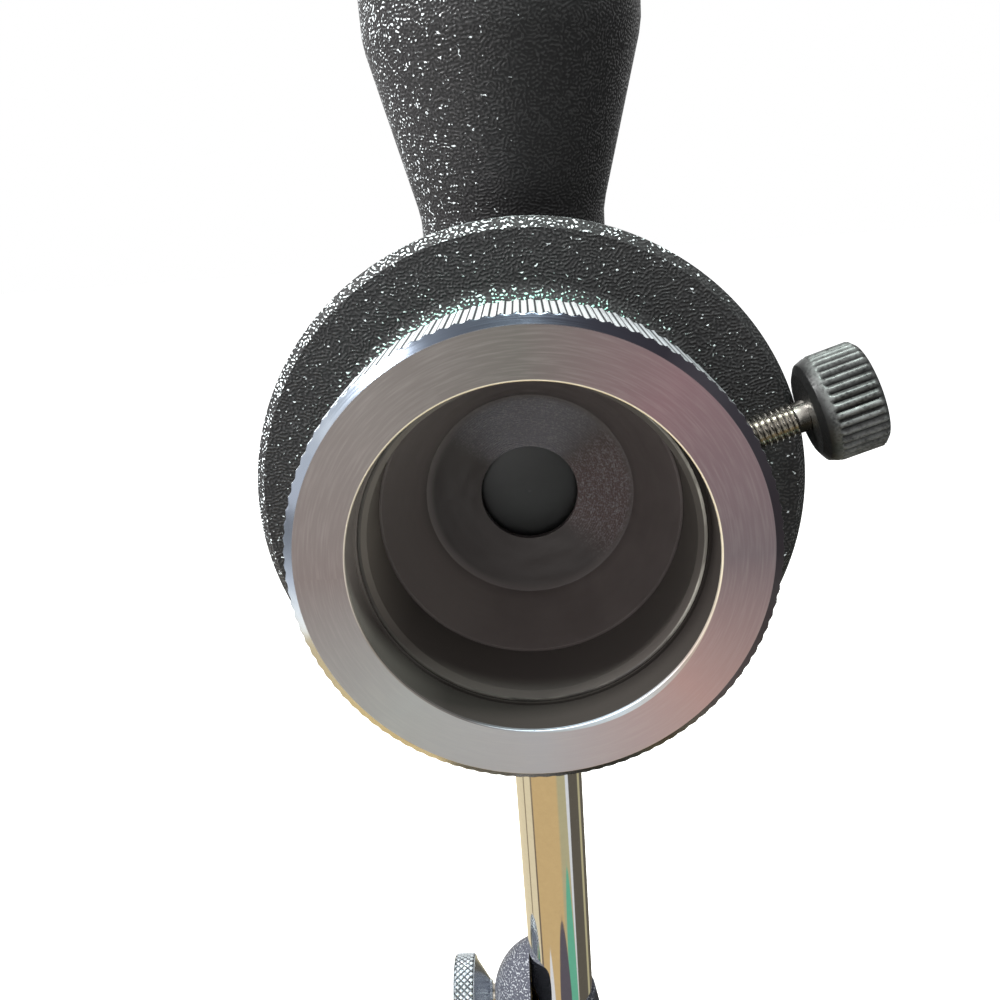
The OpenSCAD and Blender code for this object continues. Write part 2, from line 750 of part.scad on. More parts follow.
module flint_lens() {
    color("lightblue", 0.4) translate([0, 0, axis_h + flint_h]) rotate_extrude() polygon(concat(
        [[0, rest], [lens_r, rest], [lens_r, flint_t]],
        turned_round(dome(lens_dome_r, crown_curve_r, flint_t - crown_sag, -1, 10))
    ));
}

module objective_spacer() {
    color("silver") translate([0, 0, axis_h])
        tube(lens_r, lens_ledge_r, objective_spacer_h, objective_spacer_h + lens_spacer_t);
}

module crown_lens() {
    color("lightblue", 0.4) translate([0, 0, axis_h + crown_h]) rotate_extrude() polygon(concat(
        dome(lens_dome_r, crown_curve_r, -crown_sag, -1, 10), [[lens_r, 0], [lens_r, crown_edge_t]],
        turned_round(dome(lens_dome_r, crown_curve_r, crown_edge_t + crown_sag, 1, 10))
    ));
}

module objective_lens_ring() {
    color("black") translate([0, 0, axis_h])
        tube(lens_r, lens_ledge_r, objective_ring_h, objective_ring_h + objective_ring_t);
}

module dew_cap() {
    low = dew_top_h - dew_len;
    color("#1d1d1f") translate([0, 0, axis_h]) rotate_extrude() polygon([
        [dew_bore_r, low], [dew_r, low], [dew_r, dew_top_h - 0.8], [dew_r - 0.8, dew_top_h],
        [dew_bore_r, dew_top_h]
    ]);
}

module tilt_bracket() {
    front = bearing_y;
    back = bearing_end_y;
    low = pillar_socket_low_h - axis_h;
    top = pillar_socket_top_h - axis_h;
    color("#1d1d1f") difference() {
        union() {
            translate([0, 0, pillar_socket_low_h]) cylinder(r = pillar_socket_r, h = pillar_socket_len);
            across_x(web_t / 2) polygon([
                [0, low + 2], [pillar_socket_r, low + 2], [back, -bearing_r - 4], [back, 0], [front, 0],
                [front, top + 2], [front - 4, top - 1], [0, top - 1]
            ]);
            along_y(front) cylinder(r = bearing_r, h = back - front);
        }
        along_y(front - over) cylinder(r = bush_r + 0.02, h = back - front + 2 * over);
        translate([0, 0, pillar_socket_low_h - over])
            cylinder(r = pillar_r + run, h = pillar_top_h - pillar_socket_low_h + over + rest);
        translate([0, 0, set_screw_h]) rotate([0, 90, 0])
            cylinder(r = set_screw_r + run, h = pillar_socket_r + over);
    }
}

module trunnion_bush() {
    color("#a8743a") along_y(0) tube(bush_r, trunnion_r + run, bearing_y, bearing_end_y);
}

module friction_washer() {
    color("#6b4a2a") along_y(0) tube(bearing_r - 1, trunnion_r + run, friction_y, friction_y + friction_t);
}

module tension_washer() {
    color("goldenrod") along_y(0) tube(bearing_r - 2, stud_r + run, tension_y, tension_y + tension_t);
}

module tilt_knob() {
    color("#242424") along_y(tilt_knob_y) difference() {
        intersection() {
            grooved_disc(tilt_knob_r, 0.8, tilt_grooves, tilt_knob_len);
            bevelled_disc(tilt_knob_r, tilt_knob_len, 1.2);
        }
        translate([0, 0, -over]) cylinder(r = tilt_insert_r + run, h = tilt_knob_len - 1.5 + over);
    }
}

module tilt_knob_insert() {
    color("goldenrod") along_y(tilt_knob_y) tube(tilt_insert_r, stud_r + run, 0, tilt_knob_len - 1.6);
}

module pillar_set_screw() {
    color("gray") translate([pillar_r + rest, 0, set_screw_h]) rotate([0, 90, 0]) difference() {
        cylinder(r = set_screw_r, h = pillar_socket_r - pillar_r - 0.8);
        translate([-0.4, -set_screw_r - over, pillar_socket_r - pillar_r - 1.8])
            cube([0.8, 2 * set_screw_r + 2 * over, 2]);
    }
}

module pillar() {
    seat_r = pillar_r - 1;
    color("gainsboro") rotate_extrude() polygon([
        [0, pillar_foot_h], [seat_r, pillar_foot_h], [seat_r, pillar_foot_h + guide_len],
        [pillar_r, pillar_foot_h + guide_len], [pillar_r, pillar_top_h - 0.6], [pillar_r - 0.6, pillar_top_h],
        [0, pillar_top_h]
    ]);
}

module pillar_guide_ring() {
    color("goldenrod")
        tube(guide_ring_r, pillar_r - 1 + run, pillar_foot_h, pillar_foot_h + guide_len - rest);
}

module clamp_casting() {
    lip_r = collar_bore_r + lip_t;
    outline = concat(
        [[spigot_bore_r, nut_low_h], [spigot_r, nut_low_h], [spigot_r, turn_low_h], [turn_r, turn_low_h]],
        [[turn_r, turn_top_h - 0.8], [turn_r - 0.8, turn_top_h]],
        skirt_points(turn_r - 2, turn_top_h, waist_r, waist_h, 8),
        [[lip_r + 0.65, collar_top_h - 4], [lip_r, collar_top_h], [collar_bore_r, collar_top_h]],
        [[collar_bore_r, shoulder_h], [spigot_bore_r, shoulder_h]]
    );
    color("#1d1d1f") difference() {
        union() {
            rotate_extrude() polygon(outline);
            ear_body();
        }
        along_clamp() cylinder(r = clamp_screw_r + run, h = ear_tip + 5);
        along_clamp() cylinder(r = shoe_r + run, h = clamp_screw_in + 1);
    }
}

// The rounded ear at the clamp casting's left
module ear_body() {
    intersection() {
        translate([-ear_shift, 0, clamp_h]) sphere(r = ear_r);
        translate([-ear_tip - over, -ear_r - over, clamp_h - ear_r - over])
            cube([ear_tip + over - collar_bore_r, 2 * ear_r + 2 * over, 2 * ear_r + 2 * over]);
    }
}

// Points of a hollow skirt that leaves one radius level and meets the other upright
function skirt_points(r1, h1, r2, h2, steps) =
    [for (i = [0:steps]) let (a = 90 * i / steps)
        [r2 + (r1 - r2) * (1 - sin(a)), h1 + (h2 - h1) * (1 - cos(a))]];

module clamp_shoe() {
    color("goldenrod") along_clamp() translate([0, 0, shoe_in]) cylinder(r = shoe_r, h = shoe_t);
}

module clamp_screw() {
    color("silver") along_clamp() translate([0, 0, clamp_screw_in])
        cylinder(r = clamp_screw_r, h = clamp_knob_end - clamp_screw_in - 1);
}

module clamp_knob() {
    color("#c9c2b2") along_clamp() difference() {
        union() {
            translate([0, 0, clamp_knurl_in]) intersection() {
                ridged_disc(clamp_knob_r, 0.4, 44, clamp_knob_w);
                bevelled_disc(clamp_knob_r, clamp_knob_w, 0.4);
            }
            translate([0, 0, clamp_hub_in]) rotate_extrude() polygon([
                [0, 0], [clamp_hub_r - 0.3, 0], [clamp_hub_r, 0.5], [clamp_knob_r - 0.8, clamp_hub_len],
                [0, clamp_hub_len]
            ]);
        }
        translate([0, 0, clamp_hub_in - over])
            cylinder(r = clamp_screw_r + run, h = clamp_knob_end - clamp_hub_in - 1 + over + rest);
    }
}

module ring_nut() {
    floor_top_h = nut_low_h - rest;
    floor_low_h = floor_top_h - nut_floor_t;
    color("goldenrod") difference() {
        union() {
            tube(hollow_r - 1, spigot_r + run, floor_low_h, nut_top_h);
            tube(hollow_r - 1, pillar_r - 1.5, floor_low_h, floor_top_h);
        }
        for (a = [0:90:270]) rotate([0, 0, a]) translate([hollow_r - 2.2, -1.2, floor_low_h - over])
            cube([4, 2.4, nut_t + nut_floor_t + 2 * over]);
    }
}

module wave_washer() {
    color("silver") tube(hollow_r - 1, spigot_r + run, nut_top_h + rest, hollow_h - rest);
}

module thrust_washer() {
    color("goldenrod") tube(hub_r - 0.5, spigot_r + run, hub_h + rest, hub_h + rest + thrust_t);
}

module base_casting() {
    edge_top_h = base_low_h + base_edge_h;
    foot_top_h = base_low_h + foot_recess;
    outline = concat(
        [[hollow_r, base_low_h], [base_r - 1.5, base_low_h], [base_r, base_low_h + 1.5]],
        arc(base_r - 3, edge_top_h - 3, 3, 0, 90, 6),
        skirt_points(base_r - base_edge_h, edge_top_h + 1.5, hub_r, hub_h - 3, 12),
        [[hub_r, hub_h - 0.8], [hub_r - 0.8, hub_h], [hub_bore_r, hub_h], [hub_bore_r, hollow_h]],
        [[hollow_r, hollow_h]]
    );
    color("#1d1d1f") difference() {
        rotate_extrude() polygon(outline);
        rotate([0, 0, 90]) screw_circle(foot_circle_r, foot_count) {
            translate([0, 0, base_low_h - over]) cylinder(r = foot_r + run, h = foot_recess + over);
            cylinder(r = foot_screw_r + run, h = foot_top_h + 5);
        }
    }
}

module rubber_feet() {
    top = foot_h + foot_recess - rest;
    color("#141414") rotate([0, 0, 90]) screw_circle(foot_circle_r, foot_count) difference() {
        rotate_extrude() polygon([[0, 0], [foot_r - 1, 0], [foot_r, 1], [foot_r, top], [0, top]]);
        translate([0, 0, -over]) cylinder(r = 4, h = 1 + over);
        translate([0, 0, -over]) cylinder(r = foot_screw_r + run, h = top + 2 * over);
    }
}

module foot_screws() {
    color("gray") rotate([0, 0, 90]) screw_circle(foot_circle_r, foot_count)
        translate([0, 0, 0.1]) mirror([0, 0, 1]) screw(foot_screw_r, 3.6, 0.9, foot_h + foot_recess + 4, 0.8);
}

focusing_ring();
draw_tube();
stop_plate();
eyepiece_barrel();
eye_lens();
eyepiece_spacer();
field_lens();
eyepiece_lens_ring();
key_pin();
front_flange();
lock_screw();
lock_knob();
lock_pad();
elbow_housing();
flange_screws();
neck_screws();
rear_cover();
cover_screws();
trunnion();
prism();
prism_seat();
prism_cheeks();
seat_screws();
objective_tube();
light_baffle();
objective_cell();
crown_lens();
objective_spacer();
flint_lens();
objective_lens_ring();
dew_cap();
tilt_bracket();
trunnion_bush();
friction_washer();
tension_washer();
tilt_knob();
tilt_knob_insert();
pillar_set_screw();
pillar();
pillar_guide_ring();
clamp_casting();
clamp_shoe();
clamp_screw();
clamp_knob();
ring_nut();
wave_washer();
thrust_washer();
base_casting();
rubber_feet();
foot_screws();
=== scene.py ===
"""Looks, studio and camera for an elbow telescope on a chrome pillar."""

import math

import bmesh
import bpy
from mathutils import Matrix, Vector


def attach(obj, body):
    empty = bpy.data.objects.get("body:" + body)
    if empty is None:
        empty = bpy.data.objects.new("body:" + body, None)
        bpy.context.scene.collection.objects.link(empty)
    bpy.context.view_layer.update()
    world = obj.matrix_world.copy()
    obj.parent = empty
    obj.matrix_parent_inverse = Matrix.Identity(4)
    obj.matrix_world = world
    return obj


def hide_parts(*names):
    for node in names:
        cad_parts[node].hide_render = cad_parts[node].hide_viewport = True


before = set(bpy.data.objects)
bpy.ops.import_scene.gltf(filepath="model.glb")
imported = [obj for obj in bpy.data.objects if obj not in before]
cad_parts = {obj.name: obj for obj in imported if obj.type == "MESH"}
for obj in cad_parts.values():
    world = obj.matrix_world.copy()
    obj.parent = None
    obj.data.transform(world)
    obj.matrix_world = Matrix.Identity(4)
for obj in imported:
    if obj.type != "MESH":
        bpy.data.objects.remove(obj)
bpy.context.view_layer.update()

# One millimetre in the scene's metres; sizes are in millimetres unless a comment says otherwise
MM = 0.001

# Places that the CAD model sets: the tube's axis, the ring's face, the lock screw and the clamp knob
AXIS_H = 200
FACE_OUT = 46
LOCK_Y = -27.5
CLAMP_H = 87
# How far the lock screw points up, in degrees
LOCK_ANGLE = 17.5

# Focusing ring: its rim, its flat face, the chamfer between them, the mouth of its bore and its ridges
RING_R = 30.4
RING_FACE_R = 29
CHAMFER_LEN = 1.1
CHAMFER_SLOPE = CHAMFER_LEN / (RING_R - RING_FACE_R)
MOUTH_R = 22.6
RING_RIDGES = 108

# Depths behind the ring's face: the draw tube's front edge and the front of the flange's disc
TUBE_FRONT = 6.5
DISC_FRONT = 23.7

# Stop: the radius at which its funnel turns into its dish
CREASE_R = 15.2

# Lock screw: its thread, and the plain shank from the thread's end to the knob
THREAD_R = 2.45
THREAD_DEPTH = 0.48
THREAD_PITCH = 0.8
THREAD_START = 26
THREAD_END = 37.7
SHANK_R = 2.1

# Radii of the three knobs
LOCK_KNOB_R = 7.3
TILT_KNOB_R = 14
CLAMP_KNOB_R = 7.8

# The clamp knob's knurled part, along its axis, and the diamonds round it
KNURL_START = 17.4
KNURL_END = 21.6
DIAMONDS = 38

# The way to a window whose light is painted on the paint's worms as painted glints and painted shade: left,
# up and a little forward
WINDOW_SIDE = (-0.6, -0.25, 0.75)

BLACK = (0, 0, 0)


def placed(x, y, z, turn):
    """The place of a piece whose own axis is its Z, in millimetres."""
    return Matrix.Translation((x * MM, y * MM, z * MM)) @ turn


UPRIGHT = placed(0, 0, 0, Matrix.Identity(4))
ON_TUBE = placed(0, 0, AXIS_H, Matrix.Identity(4))
BEHIND_FACE = placed(0, -FACE_OUT, AXIS_H, Matrix.Rotation(math.radians(-90), 4, "X"))
ALONG_Y = placed(0, 0, AXIS_H, Matrix.Rotation(math.radians(-90), 4, "X"))
ALONG_LOCK = placed(0, LOCK_Y, AXIS_H, Matrix.Rotation(math.radians(90 - LOCK_ANGLE), 4, "Y"))
ALONG_CLAMP = placed(0, 0, CLAMP_H, Matrix.Rotation(math.radians(-90), 4, "Y"))


# Finishes

class Finish:
    """A material in the making: its nodes, its shader and its coordinates."""

    def __init__(self, name, metallic=0.0, roughness=0.5):
        self.material = bpy.data.materials.new(name)
        self.material.use_nodes = True
        self.tree = self.material.node_tree
        self.shader = self.tree.nodes["Principled BSDF"]
        self.shader.inputs["Metallic"].default_value = metallic
        self.shader.inputs["Roughness"].default_value = roughness
        self.object_place = self.node("ShaderNodeTexCoord").outputs["Object"]

    def node(self, kind, settings=None, **inputs):
        """Adds a node; a value of inputs is a number, a colour or another node's socket."""
        made = self.tree.nodes.new(kind)
        for name, value in (settings or {}).items():
            setattr(made, name, value)
        for name, value in inputs.items():
            self.feed(made.inputs[name.replace("_", " ")], value)
        return made

    def feed(self, socket, value):
        """Links a socket to a socket, or sets its value."""
        if isinstance(value, bpy.types.NodeSocket):
            self.tree.links.new(value, socket)
        else:
            socket.default_value = value

    def set(self, name, value):
        """Feeds one of the shader's sockets."""
        self.feed(self.shader.inputs[name], value)

    def math(self, operation, first, second=0.0):
        """The result of a Math node."""
        made = self.node("ShaderNodeMath", {"operation": operation})
        self.feed(made.inputs[0], first)
        self.feed(made.inputs[1], second)
        return made.outputs[0]

    def times(self, first, second):
        """The product of two values."""
        return self.math("MULTIPLY", first, second)

    def spread(self, value, low, high, to_low=0.0, to_high=1.0, smooth=False):
        """value, mapped from one range to another and kept inside it."""
        made = self.node("ShaderNodeMapRange", {"interpolation_type": "SMOOTHSTEP" if smooth else "LINEAR"})
        for socket, item in zip(made.inputs, (value, low, high, to_low, to_high)):
            self.feed(socket, item)
        return made.outputs["Result"]

    def blend(self, amount, first, second):
        """A colour between two colours."""
        made = self.node("ShaderNodeMix", {"data_type": "RGBA"})
        self.feed(made.inputs["Factor"], amount)
        self.feed(made.inputs["A"], first if isinstance(first, bpy.types.NodeSocket) else (*first, 1))
        self.feed(made.inputs["B"], second if isinstance(second, bpy.types.NodeSocket) else (*second, 1))
        return made.outputs["Result"]

    def ramp(self, value, stops):
        """A colour read off a ramp; stops are (position, colour)."""
        made = self.node("ShaderNodeValToRGB")
        self.feed(made.inputs["Fac"], value)
        elements = made.color_ramp.elements
        while len(elements) < len(stops):
            elements.new(0.5)
        for element, (position, colour) in zip(elements, stops):
            element.position = position
            element.color = (*colour, 1)
        return made.outputs["Color"]

    def noise(self, place, scale, detail=2.0, roughness=0.5):
        """A noise between 0 and 1."""
        made = self.node("ShaderNodeTexNoise", Vector=place, Scale=scale, Detail=detail, Roughness=roughness)
        return made.outputs["Fac"]

    def polar(self, place):
        """Distance from a piece's axis, angle round it and height along it, as sockets."""
        back = place.inverted()
        mapping = self.node("ShaderNodeMapping", Vector=self.object_place)
        mapping.inputs["Location"].default_value = back.to_translation()
        mapping.inputs["Rotation"].default_value = back.to_euler()
        parts = self.node("ShaderNodeSeparateXYZ", Vector=mapping.outputs["Vector"])
        x, y, z = parts.outputs
        radius = self.math("SQRT", self.math("ADD", self.times(x, x), self.times(y, y)))
        return radius, self.math("ARCTAN2", y, x), z

    def share_of_turn(self, angle):
        """An angle as a share of a turn; behind the ring's face 0 is left, 0.25 up and 0.5 right."""
        return self.spread(angle, -math.pi, math.pi)

    def joined(self, x, y, z):
        """A vector from three sockets or numbers."""
        return self.node("ShaderNodeCombineXYZ", X=x, Y=y, Z=z).outputs[0]

    def bump(self, height, distance, strength=1.0):
        """Feeds the shader's normal with a bump; distance is in metres."""
        made = self.node("ShaderNodeBump", Height=height, Distance=distance, Strength=strength)
        self.set("Normal", made.outputs["Normal"])


def worm_pattern(finish, size):
    """Short worms, size millimetres apart, bent by a slower noise."""
    sway = finish.node("ShaderNodeTexNoise", Vector=finish.object_place, Scale=260.0, Detail=2.0)
    push = finish.node("ShaderNodeVectorMath", {"operation": "SCALE"}, Vector=sway.outputs["Color"],
                       Scale=0.5 * MM)
    bent = finish.node("ShaderNodeVectorMath", {"operation": "ADD"})
    finish.feed(bent.inputs[0], finish.object_place)
    finish.feed(bent.inputs[1], push.outputs[0])
    # Waves in each cell of the noise
    waves = 2.0
    worms = finish.node(
        "ShaderNodeTexGabor", {"gabor_type": "3D"}, Vector=bent.outputs[0], Scale=1 / (size * MM * waves),
        Frequency=waves, Anisotropy=0.0)
    return worms.outputs["Value"]


def toward_window(finish):
    """How far the surface faces the window, from about -1 to 1."""
    facing = finish.node("ShaderNodeVectorMath", {"operation": "DOT_PRODUCT"})
    finish.feed(facing.inputs[0], finish.node("ShaderNodeTexCoord").outputs["Normal"])
    finish.feed(facing.inputs[1], WINDOW_SIDE)
    return facing.outputs["Value"]


def beside_ring(finish):
    """1 on the flange's boss and fillet, close round the ring, and 0 on the disc and everywhere else."""
    tinted_r = 32
    fade = 3
    radius, angle, depth = finish.polar(BEHIND_FACE)
    near_axis = finish.spread(radius, (tinted_r + fade) * MM, tinted_r * MM)
    before_disc = finish.spread(depth, (DISC_FRONT + 0.3) * MM, (DISC_FRONT - 0.7) * MM)
    return finish.times(near_axis, before_disc)


def wrinkle_paint(name, size=0.5, haze=(0.036, 0.035, 0.036), painted_glint_amount=0.9):
    """Black wrinkle enamel: glossy worms, size millimetres apart, with painted glints and painted shade that
    follow the way to the window.
    """
    finish = Finish(name)
    worms = worm_pattern(finish, size)
    facing = toward_window(finish)

    # Raised worms with a fine grain on them
    swell = finish.spread(worms, 0.3, 0.8, smooth=True)
    grain = finish.noise(finish.object_place, 5200.0)
    finish.bump(finish.math("ADD", swell, finish.times(grain, 0.12)), 0.1 * MM)

    # Painted glints: white on whole crests, in clusters that grow toward the window, and a painted greenish
    # sheen beside the ring
    clusters = finish.noise(finish.object_place, 1400.0)
    least = finish.spread(facing, -0.25, 0.8, 0.85, 0.4)
    caught = finish.spread(finish.math("SUBTRACT", clusters, least), 0.0, 0.04, 0.0, painted_glint_amount)
    painted_glint = finish.times(finish.spread(worms, 0.55, 0.62), caught)
    painted_glint_colour = finish.blend(beside_ring(finish), (0.85, 0.9, 0.92), (0.38, 0.75, 0.62))

    # The crests are lighter and glossier than the valleys, which are darker as painted shade, and both are
    # darker away from the window as painted shade
    crest = finish.spread(worms, 0.45, 0.68, smooth=True)
    shade = finish.spread(facing, -0.6, 0.3, 0.4, 1.0)
    worm = finish.blend(crest, tuple(part * 0.7 for part in haze), haze)
    finish.set("Base Color", finish.blend(painted_glint, finish.blend(shade, BLACK, worm), painted_glint_colour))
    patches = finish.noise(finish.object_place, 90.0, 3.0)
    finish.set("Roughness", finish.spread(finish.math("ADD", crest, patches), 0.4, 1.6, 0.5, 0.24))
    finish.set("Specular IOR Level", finish.times(finish.spread(crest, 0.0, 1.0, 0.06, 0.3), shade))
    return finish.material


def face_colour(finish, radius, angle, turn):
    """The ring's flat face: painted reflections and shade that change round it, under pale streaks of painted
    sheen.
    """
    tint = finish.ramp(turn, [
        (0.0, (0.22, 0.187, 0.186)), (0.125, (0.211, 0.19, 0.183)), (0.2, (0.175, 0.16, 0.152)),
        (0.25, (0.156, 0.145, 0.135)), (0.36, (0.23, 0.147, 0.162)), (0.5, (0.182, 0.147, 0.163)),
        (0.62, (0.44, 0.3, 0.3)), (0.75, (0.406, 0.41, 0.458)), (0.87, (0.356, 0.374, 0.388)),
        (1.0, (0.22, 0.187, 0.186))
    ])
    streaks = finish.noise(finish.joined(radius, finish.times(angle, 1.4 * MM), 0.0), 3600.0, 3.0)
    return finish.blend(finish.spread(streaks, 0.45, 0.8, 0.0, 0.12), tint, (0.6, 0.57, 0.55))


def chamfer_colour(finish, angle, turn, clouds):
    """The ring's chamfer, in painted reflections: bluish with pale painted highlights at the left, dark from
    top to right, pale gold below.
    """
    tint = finish.ramp(turn, [
        (0.0, (0.41, 0.45, 0.55)), (0.12, (0.36, 0.41, 0.48)), (0.17, (0.17, 0.2, 0.25)),
        (0.25, (0.04, 0.044, 0.058)), (0.36, (0.03, 0.026, 0.034)), (0.5, (0.024, 0.018, 0.022)),
        (0.62, (0.1, 0.08, 0.08)), (0.75, (0.7, 0.62, 0.48)), (0.88, (0.8, 0.72, 0.52)),
        (1.0, (0.41, 0.45, 0.55))
    ])
    # Pale painted highlights in clouds at the chamfer's left
    left = finish.spread(finish.math("COSINE", angle), -0.2, -0.8)
    wear_and_sheen = finish.times(left, finish.spread(clouds, 0.5, 0.75, 0.0, 0.5))
    return finish.blend(wear_and_sheen, tint, (0.6, 0.65, 0.7))


def knurl_colour(finish, angle, turn):
    """The ring's knurl: ridges with a painted highlight at the top, painted shade at the right and a pale
    gold painted reflection below, and two dark stripes of painted shade to a ridge.
    """
    tint = finish.ramp(turn, [
        (0.0, (0.5, 0.55, 0.6)), (0.125, (0.85, 0.9, 0.95)), (0.25, (0.95, 0.95, 0.95)),
        (0.34, (0.55, 0.57, 0.6)), (0.4, (0.1, 0.095, 0.105)), (0.5, (0.03, 0.028, 0.03)),
        (0.66, (0.06, 0.05, 0.048)), (0.76, (0.65, 0.58, 0.46)), (0.88, (0.88, 0.82, 0.68)),
        (1.0, (0.5, 0.55, 0.6))
    ])
    stripe = finish.math("PINGPONG", finish.times(angle, 2 * RING_RIDGES / math.pi), 1.0)
    return finish.blend(finish.spread(stripe, 0.6, 0.82), tint, (0.06, 0.062, 0.068))


def lip_colour(finish, turn):
    """The mouth of the ring's bore: a painted highlight round its edge, cream from the left over the top to
    the right, bluish at the lower right and below, and dark at the lower left.
    """
    return finish.ramp(turn, [
        (0.0, (0.6, 0.55, 0.5)), (0.15, (0.85, 0.78, 0.62)), (0.5, (0.9, 0.82, 0.66)),
        (0.6, (0.5, 0.42, 0.38)), (0.68, (0.6, 0.68, 0.78)), (0.75, (0.42, 0.46, 0.52)),
        (0.82, (0.12, 0.11, 0.11)), (0.93, (0.25, 0.22, 0.2)), (1.0, (0.6, 0.55, 0.5))
    ])


def bore_colour(finish, turn):
    """The dark wall of the ring's bore, with painted light at the left and painted shade from the upper right
    round the bottom.
    """
    return finish.ramp(turn, [
        (0.0, (0.25, 0.22, 0.2)), (0.3, (0.12, 0.105, 0.095)), (0.42, (0.025, 0.021, 0.019)),
        (0.84, (0.03, 0.026, 0.024)), (0.93, (0.1, 0.088, 0.08)), (1.0, (0.25, 0.22, 0.2))
    ])


def turned_steel():
    """The focusing ring's steel: fine tool marks round its axis, and a colour for each of its surfaces, with
    painted reflections, highlights and shade round it.
    """
    finish = Finish("ring_steel", metallic=1.0)
    radius, angle, depth = finish.polar(BEHIND_FACE)
    turn = finish.share_of_turn(angle)
    marks = finish.noise(finish.joined(radius, finish.times(angle, 0.35 * MM), 0.0), 9000.0)
    clouds = finish.noise(finish.object_place, 130.0, 3.0)

    # Each surface is 1 where it lies and 0 elsewhere
    rim = finish.spread(radius, (RING_FACE_R - 0.05) * MM, (RING_FACE_R + 0.05) * MM)
    past_chamfer = finish.math("SUBTRACT", depth, finish.times(radius, CHAMFER_SLOPE))
    chamfer_at = -RING_FACE_R * CHAMFER_SLOPE
    knurled = finish.spread(past_chamfer, (chamfer_at + 0.02) * MM, (chamfer_at + 0.08) * MM)
    chamfered = finish.times(rim, finish.math("SUBTRACT", 1.0, knurled))

    # The mouth's lip, which carries a painted highlight, is widest at the lower right
    widest = 0.665
    from_widest = finish.math("ABSOLUTE", finish.math("SUBTRACT", turn, widest))
    wider = finish.spread(from_widest, 0.0, 0.12, 0.55 * MM, 0.0, smooth=True)
    narrowed = finish.math("SUBTRACT", radius, wider)
    mouth = finish.spread(narrowed, (MOUTH_R + 0.25) * MM, (MOUTH_R + 0.15) * MM)
    bored = finish.times(mouth, finish.spread(depth, 0.3 * MM, 0.5 * MM))

    chamfer = chamfer_colour(finish, angle, turn, clouds)
    outside = finish.blend(knurled, chamfer, knurl_colour(finish, angle, turn))
    colour = finish.blend(rim, face_colour(finish, radius, angle, turn), outside)
    colour = finish.blend(mouth, colour, lip_colour(finish, turn))
    finish.set("Base Color", finish.blend(bored, colour, bore_colour(finish, turn)))

    # The bore is matt black, and the rim's right side is made matt and dark as painted shade
    shaded_right_rim = finish.times(rim, finish.spread(finish.math("COSINE", angle), 0.55, 0.8))
    dull_and_shaded = finish.math("MAXIMUM", bored, shaded_right_rim)
    finish.set("Metallic", finish.spread(dull_and_shaded, 0.0, 1.0, 1.0, 0.0))
    finish.set("Specular IOR Level", finish.spread(dull_and_shaded, 0.0, 1.0, 0.5, 0.04))
    roughness = finish.spread(finish.math("ADD", marks, clouds), 0.6, 1.4, 0.26, 0.4)
    for surface, rougher in ((chamfered, -0.14), (bored, 0.45), (knurled, 0.2)):
        roughness = finish.math("ADD", roughness, finish.times(surface, rougher))
    finish.set("Roughness", roughness)
    finish.bump(marks, 0.006 * MM, 0.6)
    return finish.material


def turned_metal(name, place, colour, wear_and_sheen, roughness, mark_scale=6000.0, metallic=1.0, lift=0.006):
    """A turned metal with fine rings round its axis."""
    finish = Finish(name, metallic=metallic)
    radius, angle, height = finish.polar(place)
    marks = finish.noise(finish.joined(radius, finish.times(angle, 0.4 * MM), height), mark_scale)
    clouds = finish.noise(finish.object_place, 160.0, 3.0)
    finish.set("Base Color", finish.blend(finish.spread(clouds, 0.4, 0.75), colour, wear_and_sheen))
    finish.set("Roughness", finish.spread(marks, 0.3, 0.7, roughness * 0.8, roughness * 1.25))
    finish.bump(marks, lift * MM, 0.7)
    return finish.material


def knurled_metal(name, place, colour, groove_shade, depths, span):
    """A bright metal with grooves darkened as painted shade; depths are the radii of the grooves' bottoms and
    the crests, span their heights.
    """
    finish = Finish(name, metallic=1.0)
    radius, angle, height = finish.polar(place)
    clouds = finish.noise(finish.object_place, 700.0, 3.0)
    # Painted shade fills the grooves
    cut = finish.spread(radius, depths[1] * MM, depths[0] * MM)
    for end, away in zip(span, (0.05, -0.05)):
        cut = finish.times(cut, finish.spread(height, end * MM, (end + away) * MM))
    bright = finish.blend(clouds, tuple(part * 0.7 for part in colour), colour)
    finish.set("Base Color", finish.blend(cut, bright, groove_shade))
    roughness = 0.22
    finish.set("Roughness", finish.spread(clouds, 0.3, 0.7, roughness * 0.8, roughness * 1.3))
    finish.bump(clouds, 0.01 * MM, 0.5)
    return finish.material


def black_anodised(name, place):
    """Black anodised aluminium with fine turning marks."""
    return turned_metal(name, place, (0.11, 0.098, 0.09), (0.15, 0.135, 0.125), 0.42, mark_scale=4000.0,
                        metallic=0.2, lift=0.01)


